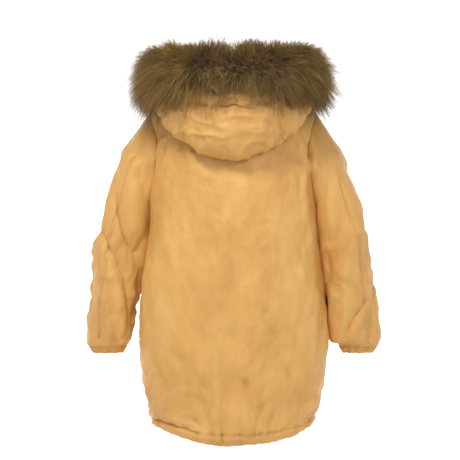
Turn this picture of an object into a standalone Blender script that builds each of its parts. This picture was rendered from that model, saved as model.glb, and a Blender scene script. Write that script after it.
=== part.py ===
"""A padded hooded parka with a fur-trimmed hood, a two-way front zip and elastic cuffs.

Metres, +Z up. The wearer faces -Y, and the wearer's left is +X. The origin is the point on
the hanger loop, inside the back of the neck, where a hook carries the coat.
"""

import math

import bmesh
import bpy
from mathutils import Matrix, Vector

# ---- Driving dimensions -----------------------------------------------------------------

SEAM_GAP = 0.0012          # clearance left between two panels that meet at a seam
SHELL_THICK = 0.006        # outer cloth with its padding
LINING_THICK = 0.0015
LINING_DEPTH = 0.0120      # from the outer face of the coat to the lining
HOOD_THICK = 0.003
CHANNEL_THICK = 0.005      # folded cloth of a hem or cuff channel

# The coat body, ring by ring from the neck seam to the hem edge.
HALF_WIDTH = (0.080, 0.140, 0.198, 0.201, 0.204, 0.211, 0.236, 0.226, 0.196)
SIDE_HEIGHT = (0.012, -0.003, -0.025, -0.110, -0.250, -0.340, -0.550, -0.700, -0.815)
BACK_HEIGHT = (0.000, -0.032, -0.080, -0.150, -0.260, -0.340, -0.550, -0.710, -0.850)
FRONT_HEIGHT = (-0.085, -0.115, -0.160, -0.210, -0.275, -0.345, -0.550, -0.705, -0.830)
SIDE_DEPTH = (-0.075, -0.078, -0.082, -0.085, -0.090, -0.092, -0.092, -0.090, -0.088)
BACK_DEPTH = (0.000, 0.020, 0.038, 0.049, 0.056, 0.058, 0.054, 0.048, 0.038)
HEM_STITCH = 7.80          # ring position of the stitching above the hem channel
HEM_EDGE = 8.0

# The zip runs in two straight lines that meet at the bust.
ZIP_TOP = (-0.160, -0.085)
ZIP_BUST = (-0.225, -0.345)
ZIP_BOTTOM = (-0.203, -0.830)
PANEL_EDGE_X = 0.0095      # where the front panels stop beside the zip

# Where the fronts fold open.
LAPEL_TOP_X = 0.045
LAPEL_APEX_Z = -0.335
SKIRT_APEX_Z = -0.365
SKIRT_HEM_X = 0.180
SKIRT_HEM_Z = -0.824

# Armhole: the widest half angle round the body, between the shoulder and armpit rings.
ARMHOLE_ANGLE = math.radians(24)
SHOULDER_RING = 2.0
ARMPIT_RING = 4.0

# Sleeve rings below the armhole: outer and inner points (x, z), front-to-back centre and
# half depth. The elbow is ring 4 and the cuff channel starts at ring 8.
SLEEVE_OUTER = ((0.270, -0.122), (0.312, -0.245), (0.3375, -0.345), (0.352, -0.445),
                (0.3605, -0.505), (0.3675, -0.580), (0.3700, -0.618), (0.3560, -0.642))
SLEEVE_INNER = ((0.2150, -0.262), (0.2185, -0.312), (0.2240, -0.362), (0.2350, -0.445),
                (0.2415, -0.505), (0.2520, -0.575), (0.2680, -0.615), (0.2840, -0.642))
SLEEVE_CENTRE_Y = (-0.087, -0.089, -0.091, -0.096, -0.101, -0.111, -0.118, -0.122)
SLEEVE_HALF_DEPTH = (0.069, 0.066, 0.064, 0.062, 0.060, 0.056, 0.048, 0.038)
ELBOW_RING = 4.0
WRIST_RING = 8.0
CUFF_HEIGHT = 0.024

# Hood, lying open on the shoulders with its bag down the back.
HOOD_FRONT_ANGLE = math.radians(-50)
BRIM_HALF_WIDTH = 0.160
BRIM_BACK_Y = 0.112
BRIM_SIDE = (-0.062, 0.020)
BRIM_BACK_Z = 0.006
BRIM_FRONT = (0.086, -0.150, -0.018)
BAG_BULGE = 0.030
BRIM_BAND = 0.036
FUR_RISE = 0.062           # height of the fur's centre above the brim
FUR_HALF_HEIGHT = 0.056
FUR_HALF_THICK = 0.030

# Patch pockets with a snapped flap.
POCKET_X = (0.086, 0.200)
POCKET_Z = (-0.548, -0.408)
POCKET_DEPTH = 0.014
FLAP_Z = (-0.452, -0.398)
SNAP_RADIUS = 0.0075

LOOP_HALF_WIDTH = 0.030
LOOP_DROP = 0.020
LOOP_STRAP = 0.008
HOOK_POINT = Vector((0, -0.018, 0))   # between the loop and the lining, from the neck seam

# ---- Scene ------------------------------------------------------------------------------

for old in list(bpy.data.objects):
    bpy.data.objects.remove(old, do_unlink=True)

PARTS = bpy.data.collections.new("hooded_parka")
CUTTERS = bpy.data.collections.new("cutters")
bpy.context.scene.collection.children.link(PARTS)
bpy.context.scene.collection.children.link(CUTTERS)

GOLD = (0.80, 0.47, 0.16)
GOLD_LINING = (0.70, 0.42, 0.15)
PALE = (0.85, 0.82, 0.75)
FUR = (0.20, 0.13, 0.05)
BRASS = (0.55, 0.42, 0.20)
TAPE = (0.60, 0.36, 0.13)


def material(name, colour, roughness, metallic=0.0):
    made = bpy.data.materials.new(name)
    made.use_nodes = True
    shader = made.node_tree.nodes["Principled BSDF"]
    shader.inputs["Base Color"].default_value = (*colour, 1.0)
    shader.inputs["Roughness"].default_value = roughness
    shader.inputs["Metallic"].default_value = metallic
    return made


def parent_empty(name, location):
    """An empty on a joint's axis, for the pieces that turn or slide about it."""
    empty = bpy.data.objects.new(name, None)
    empty.location = location
    empty.empty_display_size = 0.02
    PARTS.objects.link(empty)
    return empty


def place(name, mesh, colour, roughness=0.55, metallic=0.0, pivot=None, shift=None):
    """Links a mesh given in the coat's frame, under its pivot if it has one."""
    obj = bpy.data.objects.new(name, mesh)
    mesh.materials.append(material(name, colour, roughness, metallic))
    PARTS.objects.link(obj)
    base = Vector(shift) if shift else Vector()
    if pivot:
        obj.parent = pivot
        base = base - Vector(pivot.location)
    obj.location = base
    return obj


# ---- Surfaces ---------------------------------------------------------------------------


def path(values, at):
    """A smooth curve through equally spaced values, read at a fractional index."""
    last = len(values) - 1
    at = min(max(at, 0.0), float(last))
    low = min(int(at), last - 1)
    t = at - low
    p1 = values[low]
    p2 = values[low + 1]
    p0 = values[max(low - 1, 0)]
    p3 = values[min(low + 2, last)]
    m1 = (p2 - p0) / 2 if low > 0 else p2 - p1
    m2 = (p3 - p1) / 2 if low + 2 <= last else p2 - p1
    a = 2 * t**3 - 3 * t**2 + 1
    b = t**3 - 2 * t**2 + t
    c = -2 * t**3 + 3 * t**2
    d = t**3 - t**2
    return a * p1 + b * m1 + c * p2 + d * m2


def signed_power(value, power):
    return math.copysign(abs(value) ** power, value)


def mix(a, b, t):
    return a + (b - a) * t


def zip_depth(z):
    """Depth of the centre front at a height: two straight lines."""
    top = ZIP_TOP if z > ZIP_BUST[1] else ZIP_BUST
    low = ZIP_BUST if z > ZIP_BUST[1] else ZIP_BOTTOM
    return mix(top[0], low[0], (z - top[1]) / (low[1] - top[1]))


def squareness(ring):
    return 2.0 + 0.45 * min(ring / 4, 1.0)


def body(angle, ring):
    """The coat body's outer face: angle 0 at the wearer's left side, 90 degrees at the back."""
    power = 2 / squareness(ring)
    c = signed_power(math.cos(angle), power)
    d = signed_power(math.sin(angle), power)
    side_y = path(SIDE_DEPTH, ring)
    if d >= 0:
        end_y = path(BACK_DEPTH, ring)
        end_z = path(BACK_HEIGHT, ring)
    else:
        end_z = path(FRONT_HEIGHT, ring)
        end_y = zip_depth(end_z)
    x = path(HALF_WIDTH, ring) * c
    y = mix(side_y, end_y, abs(d))
    z = mix(end_z, path(SIDE_HEIGHT, ring), c * c)
    return Vector((x, y, z))


def outward(surface, a, b, away_from):
    """Unit normal of a surface at (a, b), on the side away from a point."""
    step = 1e-3
    across = surface(a + step, b) - surface(a - step, b)
    along = surface(a, b + step) - surface(a, b - step)
    normal = across.cross(along).normalized()
    if normal.dot(surface(a, b) - away_from) < 0:
        normal.negate()
    return normal


def body_out(angle, ring, distance):
    """A point off the body's outer face: positive is outside the coat."""
    ring = min(max(ring, 0.01), 7.999)
    base = body(angle, ring)
    inside = Vector((0, -0.085, base.z - 0.10 if ring < 2.5 else base.z))
    return base + outward(body, angle, ring, inside) * distance


def armhole_angle(ring):
    if not SHOULDER_RING < ring < ARMPIT_RING:
        return 0.0
    share = (ring - SHOULDER_RING) / (ARMPIT_RING - SHOULDER_RING)
    return ARMHOLE_ANGLE * math.sin(math.pi * share) ** 0.6


def seam_margin(ring):
    """Half the angle left open at the shoulder seam, which is bent, or at the side seam."""
    return 0.034 if ring < SHOULDER_RING + 0.3 else 0.005


def front_angle(x, ring):
    """Angle, on the front half, at which a ring passes a distance x from the centre."""
    share = min(x / path(HALF_WIDTH, ring), 1.0)
    return -math.acos(share ** (squareness(ring) / 2))


def fold_x(ring):
    """Distance from the centre to the fold lines of the lapel and the skirt, at a ring."""
    x = PANEL_EDGE_X
    for _ in range(12):
        z = body(front_angle(x, ring), ring).z
        top_z = body(front_angle(LAPEL_TOP_X, 0.0), 0.0).z
        lapel = LAPEL_TOP_X * (z - LAPEL_APEX_Z) / (top_z - LAPEL_APEX_Z)
        skirt = SKIRT_HEM_X * (z - SKIRT_APEX_Z) / (SKIRT_HEM_Z - SKIRT_APEX_Z)
        x = mix(x, max(PANEL_EDGE_X, lapel, skirt), 0.6)
    return x


def sheet(across, along, surface, closed=False):
    """A grid laid over a surface function of (0..1, 0..1).

    With closed, the first and last columns are one, which makes a tube.
    """
    grid = bmesh.new()
    bmesh.ops.create_grid(grid, x_segments=across, y_segments=along, size=0.5)
    for vertex in grid.verts:
        vertex.co = surface(vertex.co.x + 0.5, vertex.co.y + 0.5)
    if closed:
        bmesh.ops.remove_doubles(grid, verts=grid.verts, dist=1e-6)
    mesh = bpy.data.meshes.new("sheet")
    grid.to_mesh(mesh)
    grid.free()
    return mesh


def shell(name, across, along, surface, thick, centre, closed=False, **look):
    """A cloth piece with its thickness behind surface(), on the side of centre(point)."""
    mesh = sheet(across, along, surface, closed)
    mesh.update()
    middle = mesh.polygons[len(mesh.polygons) // 2]
    facing = middle.normal.dot(middle.center - centre(middle.center))
    if facing < 0:
        mesh.flip_normals()
    obj = place(name, mesh, **look)
    solid = obj.modifiers.new("thickness", "SOLIDIFY")
    solid.thickness = thick
    solid.offset = -1.0
    solid.use_even_offset = True
    solid.thickness_clamp = 1.0
    obj.modifiers.new("facets", "TRIANGULATE").quad_method = "FIXED"
    return obj


def trunk(point):
    """The middle of the body behind a point of the trunk."""
    return Vector((0, -0.085, min(point.z, -0.12) - 0.03))


# ---- Trunk ------------------------------------------------------------------------------


def back_surface(depth, low_ring, high_ring):
    def surface(u, v):
        ring = mix(low_ring, high_ring, v)
        edge = armhole_angle(ring) + seam_margin(ring)
        return body_out(mix(edge, math.pi - edge, u), ring, -depth)

    return surface


def front_surface(side, depth, low_ring, high_ring):
    """The fixed front, from the fold lines to the side seam and the armhole."""

    def surface(u, v):
        ring = mix(low_ring, high_ring, v)
        start = front_angle(fold_x(ring) + SEAM_GAP, ring)
        end = -(armhole_angle(ring) + seam_margin(ring))
        point = body_out(mix(start, end, u), ring, -depth)
        return Vector((point.x * side, point.y, point.z))

    return surface


def fold_panel(side, depth, low_ring, high_ring):
    """A part of the front between the zip and a fold line."""

    def surface(u, v):
        ring = mix(low_ring, high_ring, v)
        start = front_angle(PANEL_EDGE_X, ring)
        end = front_angle(fold_x(ring) - SEAM_GAP, ring)
        point = body_out(mix(start, end, u), ring, -depth)
        return Vector((point.x * side, point.y, point.z))

    return surface


def front_hem(side):
    """The hem channel of one front, from the zip round to the side seam."""

    def surface(u, v):
        ring = mix(HEM_STITCH + 0.008, HEM_EDGE, v)
        start = front_angle(PANEL_EDGE_X, ring)
        point = body_out(mix(start, -seam_margin(ring), u), ring, 0)
        return Vector((point.x * side, point.y, point.z))

    return surface


shell("back_panel", 16, 14, back_surface(0, 0.02, HEM_STITCH), SHELL_THICK, trunk,
      colour=GOLD)
shell("lining_back", 8, 8, back_surface(LINING_DEPTH, 0.05, HEM_STITCH), LINING_THICK, trunk,
      colour=GOLD_LINING)
shell("hem_band_back", 16, 1, back_surface(0, HEM_STITCH + 0.004, HEM_EDGE), CHANNEL_THICK,
      trunk, colour=GOLD)
shell("hem_elastic", 16, 1, back_surface(CHANNEL_THICK + 0.001, HEM_STITCH + 0.05, 7.95),
      0.001, trunk, colour=PALE)

LAPEL_PIVOT = (LAPEL_TOP_X, -0.151, -0.054)
SKIRT_PIVOT = (0.0, -0.232, SKIRT_APEX_Z)

for side, hand in ((1, "left"), (-1, "right")):
    shell(f"front_panel_{hand}", 10, 16, front_surface(side, 0, 0.02, HEM_STITCH),
          SHELL_THICK, trunk, colour=GOLD)
    shell(f"lining_front_{hand}", 5, 9, front_surface(side, LINING_DEPTH, 0.05, HEM_STITCH),
          LINING_THICK, trunk, colour=GOLD_LINING)
    lapel_pivot = parent_empty(f"pivot_lapel_{hand}", (LAPEL_PIVOT[0] * side, *LAPEL_PIVOT[1:]))
    shell(f"lapel_{hand}", 3, 5, fold_panel(side, 0, 0.02, 3.70), SHELL_THICK, trunk,
          colour=GOLD, pivot=lapel_pivot)
    shell(f"lapel_facing_{hand}", 2, 4, fold_panel(side, LINING_DEPTH, 0.05, 3.2),
          LINING_THICK, trunk, colour=GOLD, pivot=lapel_pivot)
    skirt_pivot = parent_empty(f"pivot_skirt_{hand}", SKIRT_PIVOT)
    shell(f"skirt_{hand}", 6, 7, fold_panel(side, 0, 5.33, HEM_STITCH), SHELL_THICK, trunk,
          colour=GOLD, pivot=skirt_pivot)
    shell(f"skirt_facing_{hand}", 4, 4, fold_panel(side, LINING_DEPTH, 5.45, HEM_STITCH),
          LINING_THICK, trunk, colour=GOLD, pivot=skirt_pivot)
    shell(f"hem_band_{hand}", 8, 1, front_hem(side),
          CHANNEL_THICK, trunk, colour=GOLD, pivot=skirt_pivot)

# ---- Sleeves ----------------------------------------------------------------------------


def sleeve_ring(side, ring, around, shrink):
    """A point of the sleeve. around is 0 at the outer side and 90 degrees at the back."""
    turn = math.cos(around)
    if ring <= 0:
        height = mix(SHOULDER_RING, ARMPIT_RING, (1 - turn) / 2)
        angle = armhole_angle(height) * (1 if math.sin(around) >= 0 else -1)
        point = body(angle, height) + Vector((0.004, 0, 0))
        middle = Vector((0.205, -0.086, -0.135))
    else:
        outer = [Vector((x, z)) for x, z in SLEEVE_OUTER]
        inner = [Vector((x, z)) for x, z in SLEEVE_INNER]
        at = ring - 1
        top = Vector((path([p.x for p in outer], at), path([p.y for p in outer], at)))
        low = Vector((path([p.x for p in inner], at), path([p.y for p in inner], at)))
        centre = (top + low) / 2
        reach = (top - low) / 2
        c = signed_power(turn, 0.9)
        d = signed_power(math.sin(around), 0.9)
        middle = Vector((centre.x, path(SLEEVE_CENTRE_Y, at), centre.y))
        depth = path(SLEEVE_HALF_DEPTH, at)
        point = middle + Vector((reach.x * c, depth * d, reach.y * c))
    point = point + (middle - point).normalized() * shrink
    return Vector((point.x * side, point.y, point.z))


def sleeve_surface(side, start, end, shrink=0.0):
    def surface(u, v):
        ring = mix(start, end, v)
        around = 2 * math.pi * u
        if 0 < ring < 1:
            top = sleeve_ring(side, 0, around, shrink)
            low = sleeve_ring(side, 1, around, shrink)
            return top.lerp(low, ring)
        return sleeve_ring(side, ring, around, shrink)

    return surface


def sleeve_middle(side):
    def centre(point):
        share = min(max((-0.14 - point.z) / 0.5, 0.0), 1.0)
        return Vector((side * mix(0.235, 0.320, share), mix(-0.087, -0.122, share), point.z))

    return centre


SHOULDER_PIVOT = (0.2015, -0.082, -0.022)
ELBOW_PIVOT = (0.2935, -0.163, -0.4455)

for side, hand in ((1, "left"), (-1, "right")):
    middle = sleeve_middle(side)
    arm = parent_empty(f"pivot_sleeve_{hand}", (SHOULDER_PIVOT[0] * side, *SHOULDER_PIVOT[1:]))
    elbow = parent_empty(f"pivot_elbow_{hand}", (ELBOW_PIVOT[0] * side, *ELBOW_PIVOT[1:]))
    shell(f"sleeve_upper_{hand}", 16, 6, sleeve_surface(side, 0, ELBOW_RING - 0.01),
          SHELL_THICK, middle, closed=True, colour=GOLD, pivot=arm)
    shell(f"sleeve_upper_lining_{hand}", 12, 4,
          sleeve_surface(side, 0.15, ELBOW_RING - 0.02, LINING_DEPTH + 0.005),
          LINING_THICK, middle, closed=True, colour=GOLD_LINING, pivot=arm)
    shell(f"sleeve_lower_{hand}", 16, 5, sleeve_surface(side, ELBOW_RING, WRIST_RING - 0.01),
          SHELL_THICK, middle, closed=True, colour=GOLD, pivot=elbow)
    shell(f"sleeve_lower_lining_{hand}", 12, 3,
          sleeve_surface(side, ELBOW_RING + 0.02, WRIST_RING - 0.04, LINING_DEPTH + 0.005),
          LINING_THICK, middle, closed=True, colour=GOLD_LINING, pivot=elbow)

    wrist_out = SLEEVE_OUTER[-1]
    wrist_in = SLEEVE_INNER[-1]
    cuff_x = (wrist_out[0] + wrist_in[0]) / 2 * side
    cuff_r = (wrist_out[0] - wrist_in[0]) / 2

    def cuff_surface(inset, top, bottom, cuff_x=cuff_x, cuff_r=cuff_r):
        def surface(u, v):
            around = 2 * math.pi * u
            radius = cuff_r - inset - 0.002 * v
            return Vector((cuff_x + radius * math.cos(around),
                           SLEEVE_CENTRE_Y[-1] + (radius + 0.002) * math.sin(around),
                           mix(top, bottom, v)))

        return surface

    cuff_top = wrist_out[1] - 0.0016
    cuff_low = cuff_top - CUFF_HEIGHT
    shell(f"cuff_{hand}", 16, 1, cuff_surface(0, cuff_top, cuff_low), CHANNEL_THICK,
          middle, closed=True, colour=GOLD, pivot=elbow)
    shell(f"cuff_elastic_{hand}", 16, 1,
          cuff_surface(CHANNEL_THICK + 0.001, cuff_top - 0.003, cuff_low + 0.003),
          0.0012, middle, closed=True, colour=PALE, pivot=elbow)

# ---- Hood -------------------------------------------------------------------------------


def bag_depth_ring(angle):
    """How far down the body the folded hood reaches, as a ring, at an angle."""
    lift = max(math.sin(angle), 0.0)
    return mix(0.62, 2.95, lift**1.2)


def brim(angle):
    """The open edge of the hood as it lies on the shoulders."""
    c = signed_power(math.cos(angle), 0.72)
    d = signed_power(math.sin(angle), 0.72)
    side_y, side_z = BRIM_SIDE
    if d >= 0:
        return Vector((BRIM_HALF_WIDTH * c, mix(side_y, BRIM_BACK_Y, d),
                       mix(side_z, BRIM_BACK_Z, d * d)))
    share = math.sin(angle) / math.sin(HOOD_FRONT_ANGLE)
    x = mix(BRIM_HALF_WIDTH, BRIM_FRONT[0], share * share)
    y = mix(side_y, BRIM_FRONT[1], share)
    z = mix(side_z, BRIM_FRONT[2], share * share)
    return Vector((math.copysign(x, math.cos(angle)), y, z))


def bag_bottom(angle):
    """Where the hood's outer leg turns up."""
    return body_out(angle, bag_depth_ring(angle) + 0.17, 0.0150)


def hood_wall(angle, height):
    """The hood's outer leg, from its bottom fold (height 0) to the brim (height 1)."""
    low = bag_bottom(angle)
    top = brim(angle)
    lift = max(math.sin(angle), 0.0)
    bulge = BAG_BULGE * (0.25 + 0.75 * lift) * math.sin(math.pi * max(height, 0.0) ** 0.6)
    away = Vector((math.cos(angle), math.sin(angle), 0))
    return low.lerp(top, height) + away * bulge


def hood_patch(from_angle, to_angle, low, high, distance=0.0):
    """Part of the outer leg, a distance off its outer face."""

    def surface(u, v):
        angle = mix(from_angle, to_angle, u)
        height = max(mix(low, high, v), 0.002)
        point = hood_wall(angle, height)
        inside = Vector((0, -0.06, point.z - 0.2))
        return point + outward(hood_wall, angle, height, inside) * distance

    return surface


def leg_surface(u, v):
    angle = mix(HOOD_FRONT_ANGLE + 0.06, math.pi - HOOD_FRONT_ANGLE - 0.06, u)
    return body_out(angle, mix(0.03, bag_depth_ring(angle), v), 0.0095)


def neck_axis(point):
    return Vector((0, -0.06, point.z - 0.02))


HOOD_PIVOT = (0, -0.152, -0.062)
CROWN_ANGLE = math.radians(62)

hood = parent_empty("pivot_hood", HOOD_PIVOT)
shell("hood_back_leg", 16, 5, leg_surface, HOOD_THICK, neck_axis, colour=GOLD)
shell("hood_centre_panel", 5, 6,
      hood_patch(CROWN_ANGLE + 0.008, math.pi - CROWN_ANGLE - 0.008, 0, 0.995),
      HOOD_THICK, neck_axis, colour=GOLD, pivot=hood)
shell("hood_side_left", 10, 6, hood_patch(HOOD_FRONT_ANGLE, CROWN_ANGLE - 0.008, 0, 0.995),
      HOOD_THICK, neck_axis, colour=GOLD, pivot=hood)
shell("hood_side_right", 10, 6,
      hood_patch(math.pi - CROWN_ANGLE + 0.008, math.pi - HOOD_FRONT_ANGLE, 0, 0.995),
      HOOD_THICK, neck_axis, colour=GOLD, pivot=hood)
shell("hood_lining", 12, 4,
      hood_patch(0.32, math.pi - 0.32, 0.16, 0.95,
                 -0.0085),
      LINING_THICK, neck_axis, colour=GOLD_LINING, pivot=hood)
shell("hood_brim_band", 16, 1,
      hood_patch(0.16, math.pi - 0.16, 0.74, 0.94,
                 0.0115),
      0.0035, neck_axis, colour=GOLD, pivot=hood)


def fur_surface(u, v):
    angle = mix(HOOD_FRONT_ANGLE + 0.12, math.pi - HOOD_FRONT_ANGLE - 0.12, v)
    away = Vector((math.cos(angle), math.sin(angle), 0))
    end = min(1.0, 0.35 + 3.2 * min(v, 1 - v))
    around = 2 * math.pi * u
    base = brim(angle) + Vector((0, 0, 0.014 + FUR_HALF_HEIGHT * end)) + away * 0.006
    return (base + away * FUR_HALF_THICK * end * math.cos(around)
            + Vector((0, 0, FUR_HALF_HEIGHT * end * math.sin(around))))


fur_grid = sheet(10, 26, fur_surface, closed=True)
closing = bmesh.new()
closing.from_mesh(fur_grid)
bmesh.ops.holes_fill(closing, edges=closing.edges, sides=0)
bmesh.ops.recalc_face_normals(closing, faces=closing.faces)
closing.to_mesh(fur_grid)
closing.free()
place("fur_trim", fur_grid, colour=FUR, roughness=0.9, pivot=hood)


def fur_tape_surface(u, v):
    angle = mix(HOOD_FRONT_ANGLE + 0.2, math.pi - HOOD_FRONT_ANGLE - 0.2, u)
    away = Vector((math.cos(angle), math.sin(angle), 0))
    return brim(angle) + Vector((0, 0, 0.0085 + 0.0030 * v)) - away * 0.0060


shell("fur_tape", 20, 1, fur_tape_surface, 0.002, neck_axis, colour=TAPE, pivot=hood)

# ---- Zip --------------------------------------------------------------------------------


def zip_frame(line_top, line_low, z):
    """A frame on a zip line: X across, Z up along the line, -Y out of the coat."""
    top = Vector((0, *line_top))
    low = Vector((0, *line_low))
    along = (top - low).normalized()
    across = Vector((1, 0, 0))
    inwards = along.cross(across)
    frame = Matrix((across, inwards, along)).transposed().to_4x4()
    share = (z - line_low[1]) / (line_top[1] - line_low[1])
    frame.translation = low.lerp(top, share)
    return frame


def prism(name, outline, frame, length, colour, roughness, metallic, pivot=None):
    """An outline in a frame's XY plane, extruded both ways along its Z."""
    curve = bpy.data.curves.new(name, "CURVE")
    curve.dimensions = "2D"
    curve.fill_mode = "BOTH"
    curve.extrude = length / 2
    line = curve.splines.new("POLY")
    line.points.add(len(outline) - 1)
    for point, (x, y) in zip(line.points, outline):
        point.co = (x, y, 0, 1)
    line.use_cyclic_u = True
    made = bpy.data.objects.new(name, curve)
    bpy.context.scene.collection.objects.link(made)
    bpy.context.view_layer.update()
    mesh = bpy.data.meshes.new_from_object(made.evaluated_get(
        bpy.context.evaluated_depsgraph_get()))
    bpy.data.objects.remove(made)
    tidy = bmesh.new()
    tidy.from_mesh(mesh)
    bmesh.ops.remove_doubles(tidy, verts=tidy.verts, dist=1e-6)
    bmesh.ops.recalc_face_normals(tidy, faces=tidy.faces)
    tidy.transform(frame)
    tidy.to_mesh(mesh)
    tidy.free()
    mesh.materials.clear()
    return place(name, mesh, colour=colour, roughness=roughness, metallic=metallic,
                 pivot=pivot)


BEAD_IN = 0.0010
BEAD_OUT = 0.0034
BEAD_HALF = 0.0013
TAPE_HALF = 0.0005
TAPE_EDGE = PANEL_EDGE_X - 0.0005


def half_outline(side):
    points = ((BEAD_IN, -BEAD_HALF), (BEAD_OUT, -BEAD_HALF), (BEAD_OUT, -TAPE_HALF),
              (TAPE_EDGE, -TAPE_HALF), (TAPE_EDGE, TAPE_HALF), (BEAD_OUT, TAPE_HALF),
              (BEAD_OUT, BEAD_HALF), (BEAD_IN, BEAD_HALF))
    return [(x * side, y) for x, y in points]


SLIDER_UP_Z = ZIP_TOP[1] - 0.012
SLIDER_LOW_Z = ZIP_BOTTOM[1] + 0.014
CHAINS = (
    ("upper", ZIP_TOP, ZIP_BUST, ZIP_TOP[1] - 0.003, LAPEL_APEX_Z - 0.004),
    ("middle", ZIP_BUST, ZIP_BOTTOM, ZIP_BUST[1] - 0.001, SKIRT_APEX_Z),
    ("lower", ZIP_BUST, ZIP_BOTTOM, SKIRT_APEX_Z - 0.001, ZIP_BOTTOM[1] + 0.004),
)
for label, line_top, line_low, high, low in CHAINS:
    frame = zip_frame(line_top, line_low, (high + low) / 2)
    length = (high - low) / frame.to_3x3().col[2].z
    for side, hand in ((1, "left"), (-1, "right")):
        pivot = None
        if label == "upper":
            pivot = bpy.data.objects[f"pivot_lapel_{hand}"]
        if label == "lower":
            pivot = bpy.data.objects[f"pivot_skirt_{hand}"]
        prism(f"zip_{label}_{hand}", half_outline(side), frame, length, BRASS, 0.35, 0.6,
              pivot)

PLATE_HALF = 0.0050
PLATE_IN = BEAD_HALF + 0.0004
PLATE_OUT = PLATE_IN + 0.0014
WEB_HALF = 0.0006
SLIDER_OUTLINE = (
    (-PLATE_HALF, -PLATE_OUT), (PLATE_HALF, -PLATE_OUT), (PLATE_HALF, -PLATE_IN),
    (WEB_HALF, -PLATE_IN), (WEB_HALF, PLATE_IN), (PLATE_HALF, PLATE_IN),
    (PLATE_HALF, PLATE_OUT), (-PLATE_HALF, PLATE_OUT), (-PLATE_HALF, PLATE_IN),
    (-WEB_HALF, PLATE_IN), (-WEB_HALF, -PLATE_IN), (-PLATE_HALF, -PLATE_IN),
)
SLIDER_LENGTH = 0.013
PULL_LENGTH = 0.030

for label, line_top, line_low, z, turn in (
    ("upper", ZIP_TOP, ZIP_BUST, SLIDER_UP_Z, -1),
    ("lower", ZIP_BUST, ZIP_BOTTOM, SLIDER_LOW_Z, -1),
):
    frame = zip_frame(line_top, line_low, z)
    seat = parent_empty(f"pivot_slider_{label}", frame.translation)
    prism(f"zip_slider_{label}", SLIDER_OUTLINE, frame, SLIDER_LENGTH, BRASS, 0.3, 1.0, seat)
    hook = frame @ Matrix.Translation((0, -PLATE_OUT - 0.0017, turn * 0.004))
    swing = parent_empty(f"pivot_pull_{label}", hook.translation)
    tab = ((-0.0035, -0.0011), (0.0035, -0.0011), (0.0035, 0.0011), (-0.0035, 0.0011))
    reach = hook @ Matrix.Translation((0, 0, turn * (PULL_LENGTH / 2 - 0.001)))
    prism(f"zip_pull_{label}", tab, reach, PULL_LENGTH, BRASS, 0.3, 1.0, swing)

# ---- Pockets ----------------------------------------------------------------------------


def front_at(x, z, distance):
    """A point on the front of the coat at a width and height, off its outer face."""
    ring = 5.0
    for _ in range(14):
        here = body(front_angle(x, ring), ring).z
        ring = min(max(ring + (here - z) * 5.0, 0.1), 7.9)
    return body_out(front_angle(x, ring), ring, distance)


def pocket_surface(side):
    """A patch that stands off the front like a shallow basket, open at its top."""

    def surface(u, v):
        x = mix(POCKET_X[0], POCKET_X[1], u)
        z = mix(POCKET_Z[1], POCKET_Z[0], v)
        near = min(u, 1 - u) / 0.10
        base = min(near, (1 - v) / 0.10, 1.0)
        point = front_at(x, z, 0.0012 + POCKET_DEPTH * base**0.5)
        return Vector((point.x * side, point.y, point.z))

    return surface


def flap_surface(side):
    def surface(u, v):
        x = mix(POCKET_X[0] - 0.003, POCKET_X[1] + 0.003, u)
        z = mix(FLAP_Z[1], FLAP_Z[0], v)
        point = front_at(x, z, POCKET_DEPTH + 0.0075)
        return Vector((point.x * side, point.y, point.z))

    return surface


def button(name, centre, normal, radius, height, pivot=None):
    disc = bmesh.new()
    bmesh.ops.create_cone(disc, cap_ends=True, segments=14, radius1=radius,
                          radius2=radius * 0.85, depth=height)
    turn = normal.to_track_quat("Z", "Y").to_matrix().to_4x4()
    disc.transform(Matrix.Translation(centre) @ turn)
    mesh = bpy.data.meshes.new(name)
    disc.to_mesh(mesh)
    disc.free()
    return place(name, mesh, colour=BRASS, roughness=0.3, metallic=1.0, pivot=pivot)


FLAP_PIVOT = (0.143, -0.2260, -0.3950)

for side, hand in ((1, "left"), (-1, "right")):
    shell(f"pocket_{hand}", 10, 8, pocket_surface(side), 0.0015, trunk, colour=GOLD)
    flap_pivot = parent_empty(f"pivot_flap_{hand}", (FLAP_PIVOT[0] * side, *FLAP_PIVOT[1:]))
    shell(f"pocket_flap_{hand}", 6, 2, flap_surface(side), 0.0025, trunk, colour=GOLD,
          pivot=flap_pivot)
    mid = sum(POCKET_X) / 2
    seat = front_at(mid, FLAP_Z[0] + 0.014, POCKET_DEPTH + 0.0075)
    normal = (front_at(mid, FLAP_Z[0] + 0.014, 0.05) - seat).normalized()
    seat.x *= side
    normal.x *= side
    button(f"snap_cap_{hand}", seat + normal * 0.0018, normal, SNAP_RADIUS, 0.0025,
           flap_pivot)
    button(f"snap_stud_{hand}", seat - normal * 0.0047, normal, SNAP_RADIUS * 0.8, 0.0024)

# ---- Neck -------------------------------------------------------------------------------


def loop_surface(u, v):
    """A strap bowed up between its two sewn ends, standing off the lining."""
    along = math.pi * u
    x = LOOP_HALF_WIDTH * math.cos(along)
    y = -0.0145 - 0.008 * math.sin(along)
    z = -LOOP_DROP * (1 - math.sin(along) ** 0.7) + LOOP_STRAP * v
    return Vector((x, y, z))


shell("hanger_loop", 12, 1, loop_surface, 0.0015, neck_axis, colour=PALE)


def label_surface(u, v):
    return body_out(mix(1.15, 1.99, u), mix(0.75, 1.35, v), -0.0165)


shell("neck_label", 4, 1, label_surface, 0.0006, trunk, colour=PALE)

# The origin is the hook point, so every piece and pivot shifts to it.
for obj in PARTS.objects:
    if obj.parent is None:
        obj.location -= HOOK_POINT
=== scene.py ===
"""Looks of the hooded parka: wrinkled satin cloth, stitched seams, a fur trim and a zip."""

import math

import bmesh
import bpy
import numpy as np
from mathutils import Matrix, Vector, noise


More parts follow.
